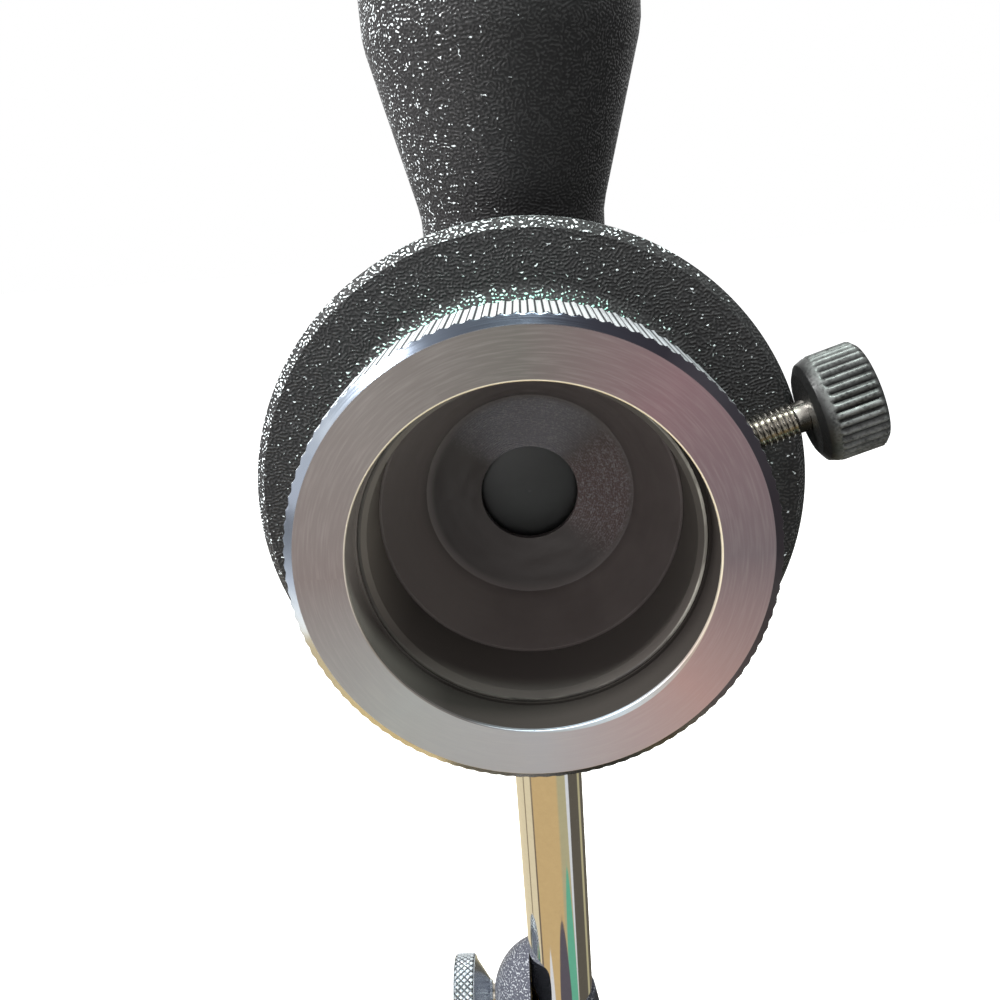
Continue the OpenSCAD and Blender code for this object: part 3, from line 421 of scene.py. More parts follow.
def stop_black():
    """The stop's brown-black, with painted light on the funnel's left, a dish darker as painted shade, and
    painted highlights in the dish's grooves, grey at its top and reddish at its right.
    """
    finish = Finish("stop_black", metallic=0.1)
    radius, angle, depth = finish.polar(BEHIND_FACE)
    cosine = finish.math("COSINE", angle)
    dish = finish.spread(radius, (CREASE_R + 0.4) * MM, (CREASE_R - 1.4) * MM, smooth=True)
    right_side = finish.times(finish.spread(cosine, 0.6, 1.0, smooth=True), dish)
    top_side = finish.times(finish.spread(finish.math("SINE", angle), -0.55, -1.0, smooth=True), dish)
    left_side = finish.spread(cosine, 0.0, -1.0, smooth=True)
    lit_sides = finish.math("MAXIMUM", right_side, top_side)

    # The funnel, with painted light at the left, then the dish, darker as painted shade, and its two lit
    # sides with their grain as painted highlights
    clouds = finish.noise(finish.object_place, 140.0, 4.0)
    colour = finish.blend(finish.spread(clouds, 0.35, 0.7), (0.095, 0.079, 0.076), (0.118, 0.099, 0.095))
    colour = finish.blend(left_side, colour, (0.19, 0.165, 0.155))
    colour = finish.blend(dish, colour, (0.047, 0.039, 0.037))
    colour = finish.blend(right_side, colour, (0.085, 0.057, 0.055))
    colour = finish.blend(top_side, colour, (0.13, 0.125, 0.138))
    grain = finish.spread(finish.noise(finish.object_place, 3200.0, 3.0, roughness=0.7), 0.48, 0.66)
    colour = finish.blend(finish.times(grain, lit_sides), colour, (0.2, 0.185, 0.19))
    # Painted shade darkens the crease between funnel and dish
    from_crease = finish.math("ABSOLUTE", finish.math("SUBTRACT", radius, CREASE_R * MM))
    painted_crease_shade = finish.spread(from_crease, 0.1 * MM, 0.9 * MM, 0.22, 0.0)
    finish.set("Base Color", finish.blend(painted_crease_shade, colour, (0.02, 0.017, 0.016)))

    smears = finish.noise(finish.joined(radius, finish.times(angle, 3 * MM), depth), 700.0, 4.0)
    finish.set("Roughness", finish.spread(smears, 0.3, 0.7, 0.4, 0.6))
    finish.set("Specular IOR Level", 0.35)
    groove_gap = 0.32 * MM
    grooves = finish.math("SINE", finish.times(radius, 2 * math.pi / groove_gap))
    grooved = finish.times(finish.times(grooves, 0.9), lit_sides)
    finish.bump(finish.math("ADD", grooved, smears), 0.03 * MM, 0.8)
    return finish.material


def tube_brown():
    """The draw tube's brown-black wall, lightened as painted light and most at the left, and its front edge,
    rubbed bright at the right.
    """
    finish = Finish("tube_brown", roughness=0.8)
    radius, angle, depth = finish.polar(BEHIND_FACE)
    streaks = finish.noise(finish.joined(radius, finish.times(angle, 3 * MM), depth), 1600.0, 3.0)
    turn = finish.share_of_turn(angle)
    # The wall's colour holds painted light, most at the left
    wall = finish.ramp(turn, [
        (0.0, (0.22, 0.195, 0.17)), (0.35, (0.09, 0.08, 0.07)), (0.75, (0.085, 0.074, 0.07)),
        (0.9, (0.1, 0.088, 0.08)), (1.0, (0.22, 0.195, 0.17))
    ])
    edge = finish.ramp(turn, [
        (0.0, (0.12, 0.11, 0.1)), (0.35, (0.16, 0.15, 0.13)), (0.44, (0.5, 0.47, 0.41)),
        (0.56, (0.45, 0.43, 0.38)), (0.64, (0.1, 0.092, 0.088)), (0.74, (0.04, 0.036, 0.034)),
        (1.0, (0.12, 0.11, 0.1))
    ])
    worn_edge = finish.blend(finish.spread(streaks, 0.4, 0.6, 0.0, 0.7), edge, (0.12, 0.11, 0.1))
    on_edge = finish.spread(depth, (TUBE_FRONT + 0.2) * MM, (TUBE_FRONT + 0.1) * MM)
    finish.set("Base Color", finish.blend(on_edge, wall, worn_edge))
    finish.set("Specular IOR Level", 0.04)
    finish.bump(streaks, 0.02 * MM, 0.7)
    return finish.material


def black_with_wear_and_highlight(name, place, outer):
    """Blackened metal rubbed grey on its ridges, a grey that is partly a painted highlight; outer is the
    ridges' radius in millimetres.
    """
    finish = Finish(name, metallic=0.5)
    radius, angle, height = finish.polar(place)
    grain = finish.noise(finish.object_place, 2600.0, 4.0)
    patches = finish.noise(finish.object_place, 420.0, 3.0)
    # Grey on the ridges: rubbed metal, and partly a painted highlight
    edge = finish.spread(radius, (outer - 0.5) * MM, (outer - 0.02) * MM)
    wear_and_highlight = finish.times(edge, finish.spread(finish.math("ADD", grain, patches), 0.7, 1.15))
    finish.set("Base Color", finish.blend(wear_and_highlight, (0.012, 0.012, 0.012), (0.133, 0.136, 0.134)))
    finish.set("Roughness", finish.spread(grain, 0.3, 0.7, 0.34, 0.6))
    finish.bump(grain, 0.03 * MM, 0.8)
    return finish.material


def chrome_plate():
    """Mirror chrome with faint drawn lines."""
    finish = Finish("chrome_plate", metallic=1.0)
    radius, angle, height = finish.polar(UPRIGHT)
    lines = finish.noise(finish.joined(finish.times(angle, 6 * MM), 0.0, height), 500.0, 3.0)
    pits = finish.noise(finish.object_place, 900.0, 3.0)
    finish.set("Base Color", finish.blend(pits, (0.72, 0.72, 0.73), (0.8, 0.8, 0.81)))
    finish.set("Roughness", finish.spread(lines, 0.3, 0.7, 0.03, 0.08))
    finish.bump(lines, 0.002 * MM, 0.3)
    return finish.material


def lens_glass(name, tint, roughness=0.02, shine=0.15):
    """Coated lens glass."""
    finish = Finish(name, roughness=roughness)
    smears = finish.noise(finish.object_place, 180.0, 3.0)
    smeared = tuple(part * 1.1 for part in tint)
    finish.set("Base Color", finish.blend(finish.spread(smears, 0.4, 0.7), tint, smeared))
    finish.set("Transmission Weight", 1.0)
    finish.set("IOR", 1.5)
    finish.set("Specular IOR Level", shine)
    return finish.material


def plain_surface(name, colour, other, roughness, grain_scale, lift):
    """Rubber, fibre and the like: two close colours and a fine grain."""
    finish = Finish(name)
    grain = finish.noise(finish.object_place, grain_scale, 4.0)
    patches = finish.noise(finish.object_place, 120.0, 3.0)
    finish.set("Base Color", finish.blend(finish.spread(patches, 0.35, 0.7), colour, other))
    finish.set("Roughness", finish.spread(grain, 0.3, 0.7, roughness - 0.08, roughness + 0.08))
    finish.bump(grain, lift * MM, 0.7)
    return finish.material


# Two close colours each
BRASS = ((0.55, 0.39, 0.16), (0.68, 0.5, 0.24))
BRONZE = ((0.36, 0.2, 0.09), (0.5, 0.3, 0.14))
SCREW_STEEL = ((0.32, 0.32, 0.33), (0.45, 0.45, 0.46))
NICKEL = ((0.36, 0.34, 0.3), (0.5, 0.47, 0.42))
FIBRE = ((0.12, 0.05, 0.025), (0.17, 0.08, 0.04))
RUBBER = ((0.02, 0.02, 0.02), (0.032, 0.032, 0.032))

paint = wrinkle_paint("wrinkle_enamel")
base_paint = wrinkle_paint("wrinkle_enamel_base", painted_glint_amount=0.25)
# The clamp's paint: lighter and bluish as painted sheen, with fewer painted glints
clamp_paint = wrinkle_paint("wrinkle_enamel_painted_sheen", size=0.46, haze=(0.114, 0.12, 0.15), painted_glint_amount=0.35)
anodised_eye = black_anodised("anodised_eyepiece", BEHIND_FACE)
anodised_up = black_anodised("anodised_objective", UPRIGHT)
nickel_lock = knurled_metal(
    "nickel_lock", ALONG_LOCK, colour=(0.58, 0.55, 0.5), groove_shade=(0.03, 0.028, 0.025),
    depths=(THREAD_R - THREAD_DEPTH, THREAD_R - 0.25), span=(THREAD_START, THREAD_END))
nickel_knurl = knurled_metal(
    "nickel_knurl", ALONG_CLAMP, colour=(0.85, 0.92, 0.96), groove_shade=(0.06, 0.075, 0.085),
    depths=(CLAMP_KNOB_R - 0.3, CLAMP_KNOB_R - 0.1), span=(KNURL_START + 0.1, KNURL_END - 0.1))
nickel_clamp = turned_metal("nickel_clamp", ALONG_CLAMP, *NICKEL, roughness=0.2)
brass_up = turned_metal("brass_upright", UPRIGHT, *BRASS, roughness=0.28)
brass_back = turned_metal("brass_tilt", ALONG_Y, *BRASS, roughness=0.28)
brass_lock = turned_metal("brass_lock", ALONG_LOCK, *BRASS, roughness=0.28)
brass_clamp = turned_metal("brass_clamp", ALONG_CLAMP, *BRASS, roughness=0.28)
steel_up = turned_metal("steel_upright", UPRIGHT, *SCREW_STEEL, roughness=0.3)
steel_back = turned_metal("steel_tilt", ALONG_Y, *SCREW_STEEL, roughness=0.3)
bronze = turned_metal("oiled_bronze", ALONG_Y, *BRONZE, roughness=0.36)
fibre = plain_surface("pressed_fibre", *FIBRE, roughness=0.72, grain_scale=1800.0, lift=0.03)
rubber = plain_surface("moulded_rubber", *RUBBER, roughness=0.6, grain_scale=900.0, lift=0.03)
# Nearly black glass: the dark inside of the eyepiece is painted into it as painted shade
eye_glass = lens_glass("eyepiece_glass", (0.035, 0.037, 0.039), roughness=0.4, shine=0.04)
front_glass = lens_glass("objective_glass", (0.88, 0.94, 0.98))
prism_glass = lens_glass("prism_glass", (0.94, 0.97, 0.96))


# Shapes

# How far beyond a rounding its extra points lie, which keep the flats beside it shaded flat
HOLD = 0.04


def rounded(corners):
    """The points of a closed profile; a corner is (radius, height, rounding), in millimetres."""
    steps = 4
    points = []
    for index, (radius, height, rounding) in enumerate(corners):
        here = Vector((radius, height))
        if rounding == 0:
            points.append(here)
            continue
        back = (Vector(corners[index - 1][:2]) - here).normalized()
        ahead = (Vector(corners[(index + 1) % len(corners)][:2]) - here).normalized()
        half = back.angle(ahead) / 2
        reach = rounding / math.tan(half)
        points.append(here + back * (reach + HOLD))
        for step in range(steps + 1):
            along = step / steps
            points.append(here + back * reach * (1 - along) ** 2 + ahead * reach * along ** 2)
        points.append(here + ahead * (reach + HOLD))
    return points


def rows(radius, start, gap, count):
    """Corners up a plain side, gap apart, that cut_to can pull in."""
    return [(radius, start + gap * step, 0) for step in range(count)]


def arc(radius, height, size, start, end, steps=8):
    """Corners along part of a circle in a profile, its angles in degrees."""
    corners = []
    for step in range(steps + 1):
        angle = math.radians(start + (end - start) * step / steps)
        corners.append((radius + size * math.cos(angle), height + size * math.sin(angle), 0))
    return corners


def curve(low, high, steps):
    """Corners of a hollow skirt that leaves one (radius, height) level and meets the other upright."""
    corners = []
    for step in range(steps + 1):
        angle = math.radians(90 * step / steps)
        radius = high[0] + (low[0] - high[0]) * (1 - math.sin(angle))
        height = low[1] + (high[1] - low[1]) * (1 - math.cos(angle))
        corners.append((radius, height, 0))
    return corners


def turned(corners, steps, closed=True):
    """A mesh in millimetres: a profile spun round Z; closed joins its last point to its first."""
    mesh = bmesh.new()
    points = rounded(corners)
    verts = [mesh.verts.new((point.x, 0, point.y)) for point in points]
    pairs = list(zip(verts, verts[1:]))
    if closed:
        pairs.append((verts[-1], verts[0]))
    edges = [mesh.edges.new(pair) for pair in pairs]
    bmesh.ops.spin(mesh, geom=verts + edges, cent=(0, 0, 0), axis=(0, 0, 1), angle=2 * math.pi, steps=steps,
                   use_merge=True)
    bmesh.ops.remove_doubles(mesh, verts=mesh.verts, dist=0.0005)
    bmesh.ops.recalc_face_normals(mesh, faces=mesh.faces)
    return mesh


def cut_to(mesh, inner, limit):
    """Pulls vertices beyond the inner radius in to limit(angle, height)."""
    for vert in mesh.verts:
        radius = math.hypot(vert.co.x, vert.co.y)
        if radius <= inner:
            continue
        wanted = min(radius, limit(math.atan2(vert.co.y, vert.co.x), vert.co.z))
        vert.co.x *= wanted / radius
        vert.co.y *= wanted / radius


def as_object(name, mesh, material):
    """Puts a mesh into the scene as an object of one material."""
    data = bpy.data.meshes.new(name)
    mesh.to_mesh(data)
    mesh.free()
    data.materials.append(material)
    made = bpy.data.objects.new(name, data)
    bpy.context.scene.collection.objects.link(made)
    return made


def finished(name, mesh, place, material, body, nodes, crease=40):
    """Makes the object of a mesh in millimetres, at its place, and lets it stand for its CAD nodes."""
    bmesh.ops.transform(mesh, matrix=place @ Matrix.Scale(MM, 4), verts=mesh.verts)
    bmesh.ops.recalc_face_normals(mesh, faces=mesh.faces)
    for face in mesh.faces:
        face.smooth = True
    for edge in mesh.edges:
        edge.smooth = edge.calc_face_angle(0) < math.radians(crease)
    piece = as_object(name, mesh, material)
    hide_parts(*nodes)
    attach(piece, body)


def saw(turns):
    """A ridge between 0 and 1 that repeats once a turn, highest in the middle."""
    part = turns % 1
    return 1 - abs(2 * part - 1)


# Focusing ring

def ring_knurl(angle, depth):
    """Outside of the ring's knurl: rounded flutes, each with two fine ribs."""
    flute_depth = 0.27
    rib_height = 0.08
    turns = angle / (2 * math.pi) * RING_RIDGES
    flute = math.sin(math.pi * (turns % 1)) ** 0.7
    ribs = abs(math.cos(2 * math.pi * turns))
    return RING_R - flute_depth * flute - rib_height * ribs


def focusing_ring():
    """The ring: face, chamfer, knurl, then the sleeve in the flange, with the lock pad's groove."""
    knurl_end = 13
    sleeve_r = 24.95
    sleeve_end = 27
    groove_r = 24.55
    groove_start = 15.95
    groove_end = 21.05
    bore_r = 22.2
    mouth_depth = 6.2
    chamfer_width = RING_R - RING_FACE_R
    chamfer_steps = 14
    chamfer = [
        (RING_FACE_R + chamfer_width * step / chamfer_steps, CHAMFER_LEN * step / chamfer_steps, 0)
        for step in range(1, chamfer_steps + 1)
    ]
    ring = turned(
        [(MOUTH_R, 0, 0.16), (RING_FACE_R, 0, 0.03)] + chamfer
        + [(RING_R, knurl_end - 0.55, 0), (RING_R - 0.3, knurl_end - 0.3, 0), (RING_R - 0.65, knurl_end, 0),
           (sleeve_r, knurl_end, 0.1), (sleeve_r, groove_start, 0), (groove_r, groove_start, 0),
           (groove_r, groove_end, 0), (sleeve_r, groove_end, 0), (sleeve_r, sleeve_end, 0.2),
           (bore_r, sleeve_end, 0.2), (bore_r, mouth_depth, 0.1), (MOUTH_R, mouth_depth, 0)],
        steps=RING_RIDGES * 8)
    cut_to(ring, RING_FACE_R + 0.02, ring_knurl)
    finished("focusing_ring_turned", ring, BEHIND_FACE, turned_steel(), "focus_ring",
             ["focusing_ring"])


# Draw tube and stop

def draw_tube():
    """The thin tube inside the ring, bevelled inside its front edge."""
    inner_r = 21.1
    outer_r = 22.15
    tube_end = 28.3
    tube = turned(
        [(inner_r, TUBE_FRONT + 1.05, 0.15), (outer_r - 0.3, TUBE_FRONT, 0.1), (outer_r, TUBE_FRONT, 0.08),
         (outer_r, tube_end, 0.1), (inner_r, tube_end, 0.1)], steps=192)
    finished("draw_tube_turned", tube, BEHIND_FACE, tube_brown(), "draw_tube",
             ["draw_tube"])


def stop_plate():
    """The stop: a funnel, a shallow dish, its hole, and the spigot behind it."""
    hole_r = 7.15
    hole_depth = 28.4
    crease_depth = 27
    outer_r = 21.05
    front = 18.5
    back = 28.3
    spigot_r = 10.9
    spigot_end = 29.5
    stop = turned(
        [(hole_r, hole_depth, 0.08), (CREASE_R, crease_depth, 0.15), (outer_r - 0.4, front, 0.1),
         (outer_r, front, 0.05), (outer_r, back, 0.1), (spigot_r, back, 0.1), (spigot_r, spigot_end, 0.1),
         (hole_r, spigot_end, 0.1)], steps=192)
    finished("stop_plate_turned", stop, BEHIND_FACE, stop_black(), "draw_tube",
             ["stop_plate"])


def front_flange():
    """The flange: a boss for the ring, a hollow fillet and the disc with its chamfered edge."""
    bore_r = 25
    boss_r = 28.5
    boss_front = 13.3
    fillet = 3
    disc_r = 39.5
    disc_back = 28.7
    chamfer = 1.3
    flange = turned(
        [(bore_r, boss_front, 0.2), (boss_r, boss_front, 0.5)]
        + arc(boss_r + fillet, DISC_FRONT - fillet, fillet, 180, 90, steps=12)
        + [(disc_r - chamfer, DISC_FRONT, 0.15), (disc_r, DISC_FRONT + chamfer, 0.15),
           (disc_r, disc_back, 0.5), (bore_r, disc_back, 0.2)], steps=256)
    finished("front_flange_cast", flange, BEHIND_FACE, paint, "head", ["front_flange"])


# Objective tube and dew cap

def objective_tube():
    """The neck, the cone and the straight tube above them, eased into each other, on a hidden spigot."""
    bore_r = 9.6
    bore_end = 37
    spigot_r = 12
    spigot_low = 22
    neck_r = 13.9
    neck_low = 30
    neck_end = 39
    cone_end = 62.5
    tube_r = 20
    tube_end = 135
    wall = 2
    ease = 2
    tube = turned(
        [(bore_r, spigot_low, 0.1), (spigot_r, spigot_low, 0.2), (spigot_r, neck_low, 0),
         (neck_r, neck_low, 0.2), (neck_r, neck_end, 0), (neck_r + 0.35, neck_end + ease, 0),
         (tube_r - 0.3, cone_end, 0), (tube_r, cone_end + ease, 0), (tube_r, tube_end, 0.2),
         (tube_r - wall, tube_end, 0.2), (tube_r - wall, cone_end, 0), (bore_r, bore_end, 0)], steps=192)
    finished("objective_tube_cast", tube, ON_TUBE, paint, "head", ["objective_tube"])


def dew_cap():
    """The plain sleeve round the tube's far end."""
    inner_r = 22.05
    outer_r = 23.85
    low = 118.05
    high = 158.05
    cap = turned(
        [(inner_r, low, 0.1), (outer_r, low, 0.4), (outer_r, high, 0.7), (inner_r, high, 0.3)], steps=192)
    finished("dew_cap_turned", cap, ON_TUBE, paint, "dew_cap", ["dew_cap"])


# Lock screw, lock knob and tilt knob

def lock_thread(angle, height):
    """Outside of the lock screw's thread, which turns plain beside the knob."""
    if height > THREAD_END:
        return SHANK_R
    return THREAD_R - THREAD_DEPTH * saw(height / THREAD_PITCH - angle / (2 * math.pi)) ** 0.8


def lock_screw():
    """The threaded screw and its shank, which ends inside the knob."""
    tip_r = 2
    row_gap = 0.1
    row_count = round((THREAD_END - THREAD_START) / row_gap) - 1
    shank_end = 44.2
    screw = turned(
        [(0, THREAD_START + row_gap, 0), (tip_r, THREAD_START + row_gap, 0)]
        + rows(THREAD_R, THREAD_START + row_gap, row_gap, row_count)
        + [(SHANK_R, THREAD_END + row_gap, 0), (SHANK_R, shank_end, 0.1), (0, shank_end, 0)],
        steps=64, closed=False)
    cut_to(screw, SHANK_R + 0.01, lock_thread)
    finished("lock_screw_thread", screw, ALONG_LOCK, nickel_lock, "lock_knob", ["lock_screw"],
             crease=60)


def fluted_knob(radius, low, length, bore, bore_depth, flutes, depth, shoulder, drop):
    """A fluted knob with a plain rounded shoulder at its inner end; drop is the shoulder's lost radius.

    What fills the bore hides its wall, which is left out.
    """
    edge = 0.7
    row_gap = 0.3
    row_count = int((length - shoulder - edge - 0.1) / row_gap)
    high = low + length
    shoulder_r = radius - 0.15

    def flute(angle, height):
        """Outside of the knob: plain on the shoulder, then fluted."""
        if height < low + shoulder:
            return shoulder_r
        wave = 0.5 - 0.5 * math.cos(angle * flutes)
        return radius - depth * (1 - wave ** 0.6)

    mesh = turned(
        [(bore, low, 0.1), (radius - drop, low, 0.5), (radius - drop / 3, low + shoulder / 3, 0.3),
         (radius - 0.1, low + shoulder - 0.2, 0)] + rows(radius, low + shoulder, row_gap, row_count)
        + [(radius, high - edge, 0), (radius - edge, high, 0.2), (0, high, 0), (0, low + bore_depth, 0),
           (bore, low + bore_depth, 0)],
        steps=flutes * 8, closed=False)
    cut_to(mesh, radius - 0.6, flute)
    return mesh


def lock_knob():
    """The lock screw's knob."""
    knob = fluted_knob(LOCK_KNOB_R, low=39.3, length=8.4, bore=2.15, bore_depth=5, flutes=36, depth=0.5,
                       shoulder=2, drop=1.8)
    black = black_with_wear_and_highlight("lock_knob_black", ALONG_LOCK, LOCK_KNOB_R)
    finished("lock_knob_fluted", knob, ALONG_LOCK, black, "lock_knob", ["lock_knob"])


def tilt_knob():
    """The larger knob behind the head that sets how stiffly it tilts."""
    knob = fluted_knob(TILT_KNOB_R, low=39.7, length=12, bore=6.55, bore_depth=10.5, flutes=30, depth=0.8,
                       shoulder=1.8, drop=1.2)
    black = black_with_wear_and_highlight("tilt_knob_black", ALONG_Y, TILT_KNOB_R)
    finished("tilt_knob_fluted", knob, ALONG_Y, black, "tilt_knob", ["tilt_knob"])


# Pillar

def pillar():
    """The chrome rod, with a thinner foot that carries its guide ring."""
    foot_r = 5.15
    foot_low = 40
    pillar_r = 6.15
    pillar_low = 46
    pillar_top = 161.7
    rod = turned(
        [(0, foot_low, 0), (foot_r, foot_low, 0.1), (foot_r, pillar_low, 0), (pillar_r, pillar_low, 0.2),
         (pillar_r, pillar_top, 0.5), (0, pillar_top, 0)], steps=192, closed=False)
    finished("pillar_polished", rod, UPRIGHT, chrome_plate(), "pillar", ["pillar"])


# Clamp knob

def diamond_knurl(angle, height):
    """Outside of the clamp knob: rows of small pyramids with flattened tips."""
    groove_depth = 0.36
    turns = angle / (2 * math.pi) * DIAMONDS
    lean = height * DIAMONDS / (2 * math.pi * CLAMP_KNOB_R)
    pyramid = min(1, 1.5 * min(saw(turns + lean), saw(turns - lean)))
    return CLAMP_KNOB_R - groove_depth * (1 - pyramid)


def clamp_knob():
    """The diamond-knurled knob: a tapered hub, then the knurled head.

    The screw hides the bore's wall, which is left out.
    """
    bore_r = 1.95
    bore_end = 20.7
    hub_r = 2.6
    hub_start = 14.1
    taper_r = 7
    edge_r = 7.35
    edge = 0.45
    row_gap = 0.1
    row_count = round((KNURL_END - KNURL_START - 2 * edge) / row_gap) + 1
    knob = turned(
        [(bore_r, hub_start, 0), (hub_r, hub_start, 0.1), (hub_r + 0.3, hub_start + 0.5, 0.1),
         (taper_r, KNURL_START, 0), (edge_r, KNURL_START, 0.1)]
        + rows(CLAMP_KNOB_R, KNURL_START + edge, row_gap, row_count)
        + [(edge_r, KNURL_END, 0.1), (0, KNURL_END, 0), (0, bore_end, 0), (bore_r, bore_end, 0)],
        steps=DIAMONDS * 10, closed=False)
    cut_to(knob, edge_r + 0.01, diamond_knurl)
    finished("clamp_knob_knurled", knob, ALONG_CLAMP, nickel_knurl, "clamp_knob", ["clamp_knob"],
             crease=60)


# Base

def base():
    """The heavy round base: a rounded rim, a hollow skirt, and a bored hub with a recess under it."""
    rim_r = 66
    rim_h = 8
    rim_round = 3
    underside = 3
    bevel = 1.5
    skirt_r = 58
    skirt_low = 12.5
    hub_r = 17
    hub_top = 47
    bore_r = 11.05
    recess_r = 16
    recess_top = 20
    casting = turned(
        [(recess_r, underside, 0.5), (rim_r - bevel, underside, 0), (rim_r, underside + bevel, 0)]
        + arc(rim_r - rim_round, rim_h, rim_round, 0, 90)
        + curve((skirt_r, skirt_low), (hub_r, hub_top - 3), steps=20)
        + [(hub_r, hub_top, 0.8), (bore_r, hub_top, 0.2), (bore_r, recess_top, 0), (recess_r, recess_top, 0)],
        steps=256)
    finished("base_cast", casting, UPRIGHT, base_paint, "base", ["base_casting"])


focusing_ring()
draw_tube()
stop_plate()
front_flange()
objective_tube()
dew_cap()
lock_screw()
lock_knob()
tilt_knob()
pillar()
clamp_knob()
base()

# Finishes of the CAD model's own pieces
KEPT_PIECES = {
    paint: ["elbow_housing", "rear_cover", "tilt_bracket"],
    clamp_paint: ["clamp_casting"],
    anodised_eye: ["eyepiece_barrel", "eyepiece_spacer", "eyepiece_lens_ring", "prism_seat", "prism_cheeks"],
    anodised_up: ["light_baffle", "objective_cell", "objective_lens_ring"],
    brass_up: ["objective_spacer", "pillar_guide_ring", "ring_nut", "thrust_washer"],
    brass_back: ["tension_washer", "tilt_knob_insert"],
    brass_lock: ["lock_pad"],
    brass_clamp: ["clamp_shoe"],
    nickel_clamp: ["clamp_screw"],
    steel_up: ["neck_screws", "key_pin", "pillar_set_screw", "wave_washer", "foot_screws"],
    steel_back: ["flange_screws", "cover_screws", "trunnion", "seat_screws"],
    bronze: ["trunnion_bush"],
    fibre: ["friction_washer"],
    rubber: ["rubber_feet"],
    eye_glass: ["eye_lens", "field_lens"],
    front_glass: ["crown_lens", "flint_lens"],
    prism_glass: ["prism"],
}
for material, names in KEPT_PIECES.items():
    for name in names:
        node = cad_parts[name]
        node.data.materials.clear()
        node.data.materials.append(material)


# Studio, whose sizes and places are in metres

FLOOR_SIZE = 3
CARD_SIZE = 0.3
CARD_LIFT = 0.0002
EYE = (0, -0.03, 0.2)


def stage_sheet(name, size, height, material):
    """A flat sheet that isn't part of the object."""
    mesh = bmesh.new()
    bmesh.ops.create_grid(mesh, x_segments=1, y_segments=1, size=size)
    bmesh.ops.translate(mesh, vec=(0, 0, height), verts=mesh.verts)
    sheet = as_object(name, mesh, material)
    return sheet


def painted_reflection_card():
    """A glowing card that only shiny metal sees, painted with reflections: tan wood, dark and sage sides, and
    five coloured tongues.
    """
    card = Finish("painted_reflection_card", roughness=1.0)
    card.set("Base Color", (*BLACK, 1))
    card.set("Specular IOR Level", 0.0)
    radius, angle, height = card.polar(UPRIGHT)
    tan, pale, dark, line = (0.69, 0.49, 0.235), (0.87, 0.75, 0.5), (0.13, 0.115, 0.09), (0.3, 0.24, 0.16)
    sage = (0.52, 0.47, 0.28)
    shade = card.ramp(card.share_of_turn(angle), [
        (0.0, pale), (0.055, pale), (0.06, line), (0.072, line), (0.078, tan), (0.31, tan), (0.33, sage),
        (0.42, sage), (0.435, dark), (0.56, dark), (0.57, sage), (0.6, sage), (0.61, dark), (0.7, dark),
        (0.76, pale), (0.965, pale), (0.97, line), (0.98, line), (0.985, pale)
    ])
    from_front = card.math("ADD", angle, math.pi / 2)

    def tongue(middle, width, tip, root):
        """A pointed patch, widest at the root radius and gone at the tip, in millimetres and degrees."""
        reach = card.spread(radius, tip * MM, root * MM)
        half = card.times(card.math("SQRT", reach), math.radians(width / 2))
        off = card.math("ABSOLUTE", card.math("SUBTRACT", from_front, math.radians(middle)))
        inside = card.spread(card.math("SUBTRACT", half, off), -0.01, 0.04, smooth=True)
        return card.times(inside, card.spread(reach, 0.0, 0.02))

    # Tongues of painted reflection: green, dark, white, brown and pale
    for middle, width, tip, root, colour in (
            (44, 34, 152, 100, (0.16, 0.5, 0.33)),
            (14, 42, 126, 95, (0.13, 0.115, 0.135)),
            (-34, 24, 112, 80, (0.85, 0.85, 0.84)),
            (-66, 9, 200, 80, (0.2, 0.15, 0.11)),
            (62, 14, 85, 190, (0.8, 0.82, 0.84))):
        shade = card.blend(tongue(middle, width, tip, root), shade, colour)
    card.set("Emission Color", shade)
    card.set("Emission Strength", 1.0)
    return card.material


def floor_material():
    """White to the camera, with the object's shadow."""
    floor = Finish("pale_floor", roughness=0.9)
    floor.set("Base Color", (0.8, 0.8, 0.8, 1))
    path = floor.node("ShaderNodeLightPath")
    floor.set("Emission Color", (1, 1, 1, 1))
    floor.set("Emission Strength", floor.times(path.outputs["Is Camera Ray"], 0.8))
    return floor.material


def studio_light(name, place, size, power, colour):
    """A square lamp that looks at the eyepiece."""
    lamp = bpy.data.lights.new(name, "AREA")
    lamp.size = size
    lamp.energy = power
    lamp.color = colour
    holder = bpy.data.objects.new(name, lamp)
    holder.location = place
    holder.rotation_euler = (Vector(EYE) - Vector(place)).to_track_quat("-Z", "Y").to_euler()
    bpy.context.scene.collection.objects.link(holder)


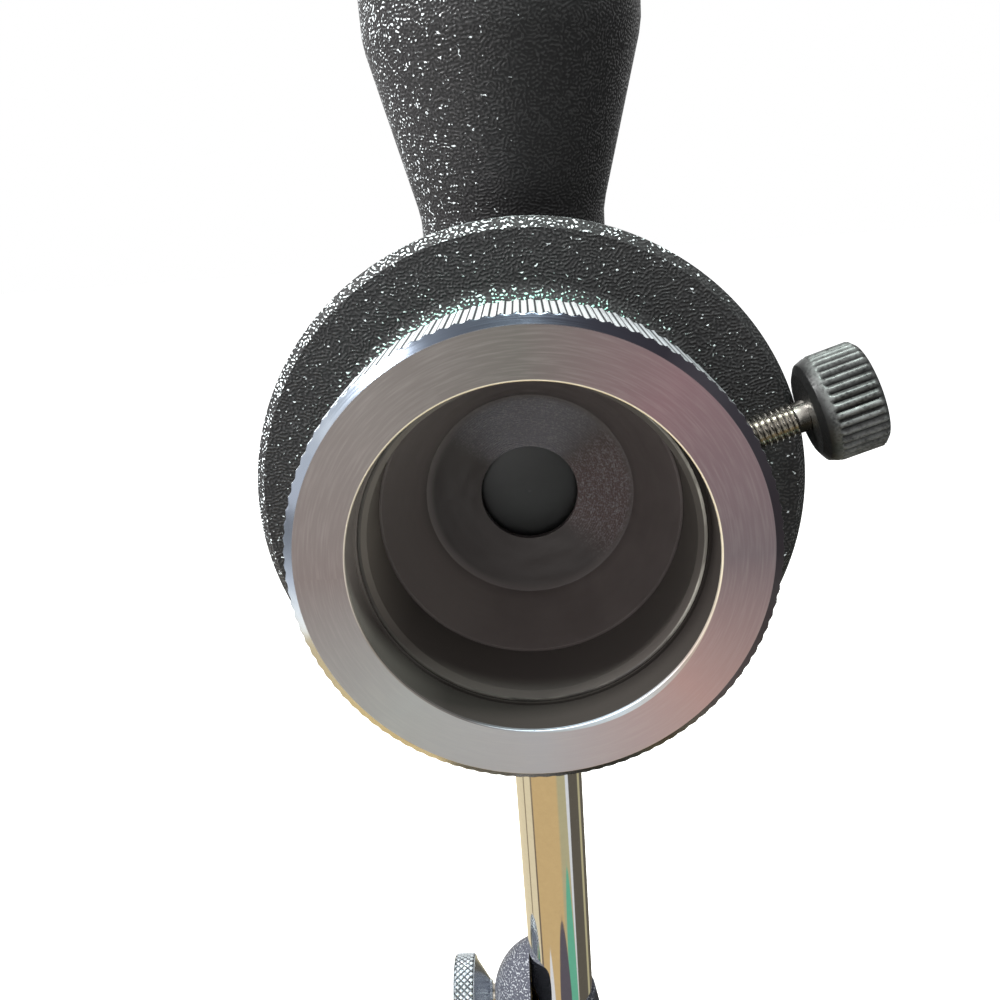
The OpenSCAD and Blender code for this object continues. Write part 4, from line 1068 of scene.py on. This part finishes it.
def studio_world():
    """A white world: full to the camera, glass and shiny metal, and softer as a light."""
    world = bpy.data.worlds.new("studio")
    bpy.context.scene.world = world
    world.use_nodes = True
    sky = world.node_tree
    path = sky.nodes.new("ShaderNodeLightPath")
    seen = path.outputs["Is Camera Ray"]
    for ray in ("Is Transmission Ray", "Is Glossy Ray"):
        either = sky.nodes.new("ShaderNodeMath")
        either.operation = "MAXIMUM"
        sky.links.new(seen, either.inputs[0])
        sky.links.new(path.outputs[ray], either.inputs[1])
        seen = either.outputs[0]
    level = sky.nodes.new("ShaderNodeMapRange")
    level.inputs["To Min"].default_value = 0.4
    level.inputs["To Max"].default_value = 1.0
    sky.links.new(seen, level.inputs["Value"])
    backdrop = sky.nodes["Background"]
    backdrop.inputs["Color"].default_value = (1, 1, 1, 1)
    sky.links.new(level.outputs["Result"], backdrop.inputs["Strength"])


stage_sheet("studio_floor", FLOOR_SIZE, 0, floor_material())
card_sheet = stage_sheet("painted_reflection_card", CARD_SIZE, CARD_LIFT, painted_reflection_card())
for ray in ("camera", "diffuse", "transmission", "volume_scatter", "shadow"):
    setattr(card_sheet, "visible_" + ray, False)
studio_light("key_upper_left", (-0.34, -0.11, 0.55), 0.06, 4.5, (1, 1, 1))
studio_light("top", (0.04, -0.13, 0.75), 0.08, 4.0, (0.86, 1, 0.94))
studio_light("front_fill", (-0.25, -0.55, 0.36), 0.4, 1.0, (1, 0.98, 0.97))
studio_world()

# Camera, from the outlines of the ring, the flange, the tube and the pillar
CAMERA_PLACE = (1.02 * MM, -151.43 * MM, 244.31 * MM)
PITCH = 0.325
YAW = -0.041
ROLL = 0.075
FOCAL_PIXELS = 950
IMAGE_PIXELS = 1000

ahead = Vector((math.sin(YAW) * math.cos(PITCH), math.cos(YAW) * math.cos(PITCH), -math.sin(PITCH)))
level_right = Vector((math.cos(YAW), -math.sin(YAW), 0))
level_down = ahead.cross(level_right)
right = math.cos(ROLL) * level_right + math.sin(ROLL) * level_down
down = -math.sin(ROLL) * level_right + math.cos(ROLL) * level_down
camera_data = bpy.data.cameras.new("camera")
camera_data.sensor_width = 36
camera_data.lens = FOCAL_PIXELS / IMAGE_PIXELS * camera_data.sensor_width
camera_data.clip_start = 0.01
camera = bpy.data.objects.new("camera", camera_data)
camera.matrix_world = Matrix.Translation(CAMERA_PLACE) @ Matrix((right, -down, -ahead)).transposed().to_4x4()
bpy.context.scene.collection.objects.link(camera)
bpy.context.scene.camera = camera
bpy.context.scene.view_settings.view_transform = "Standard"
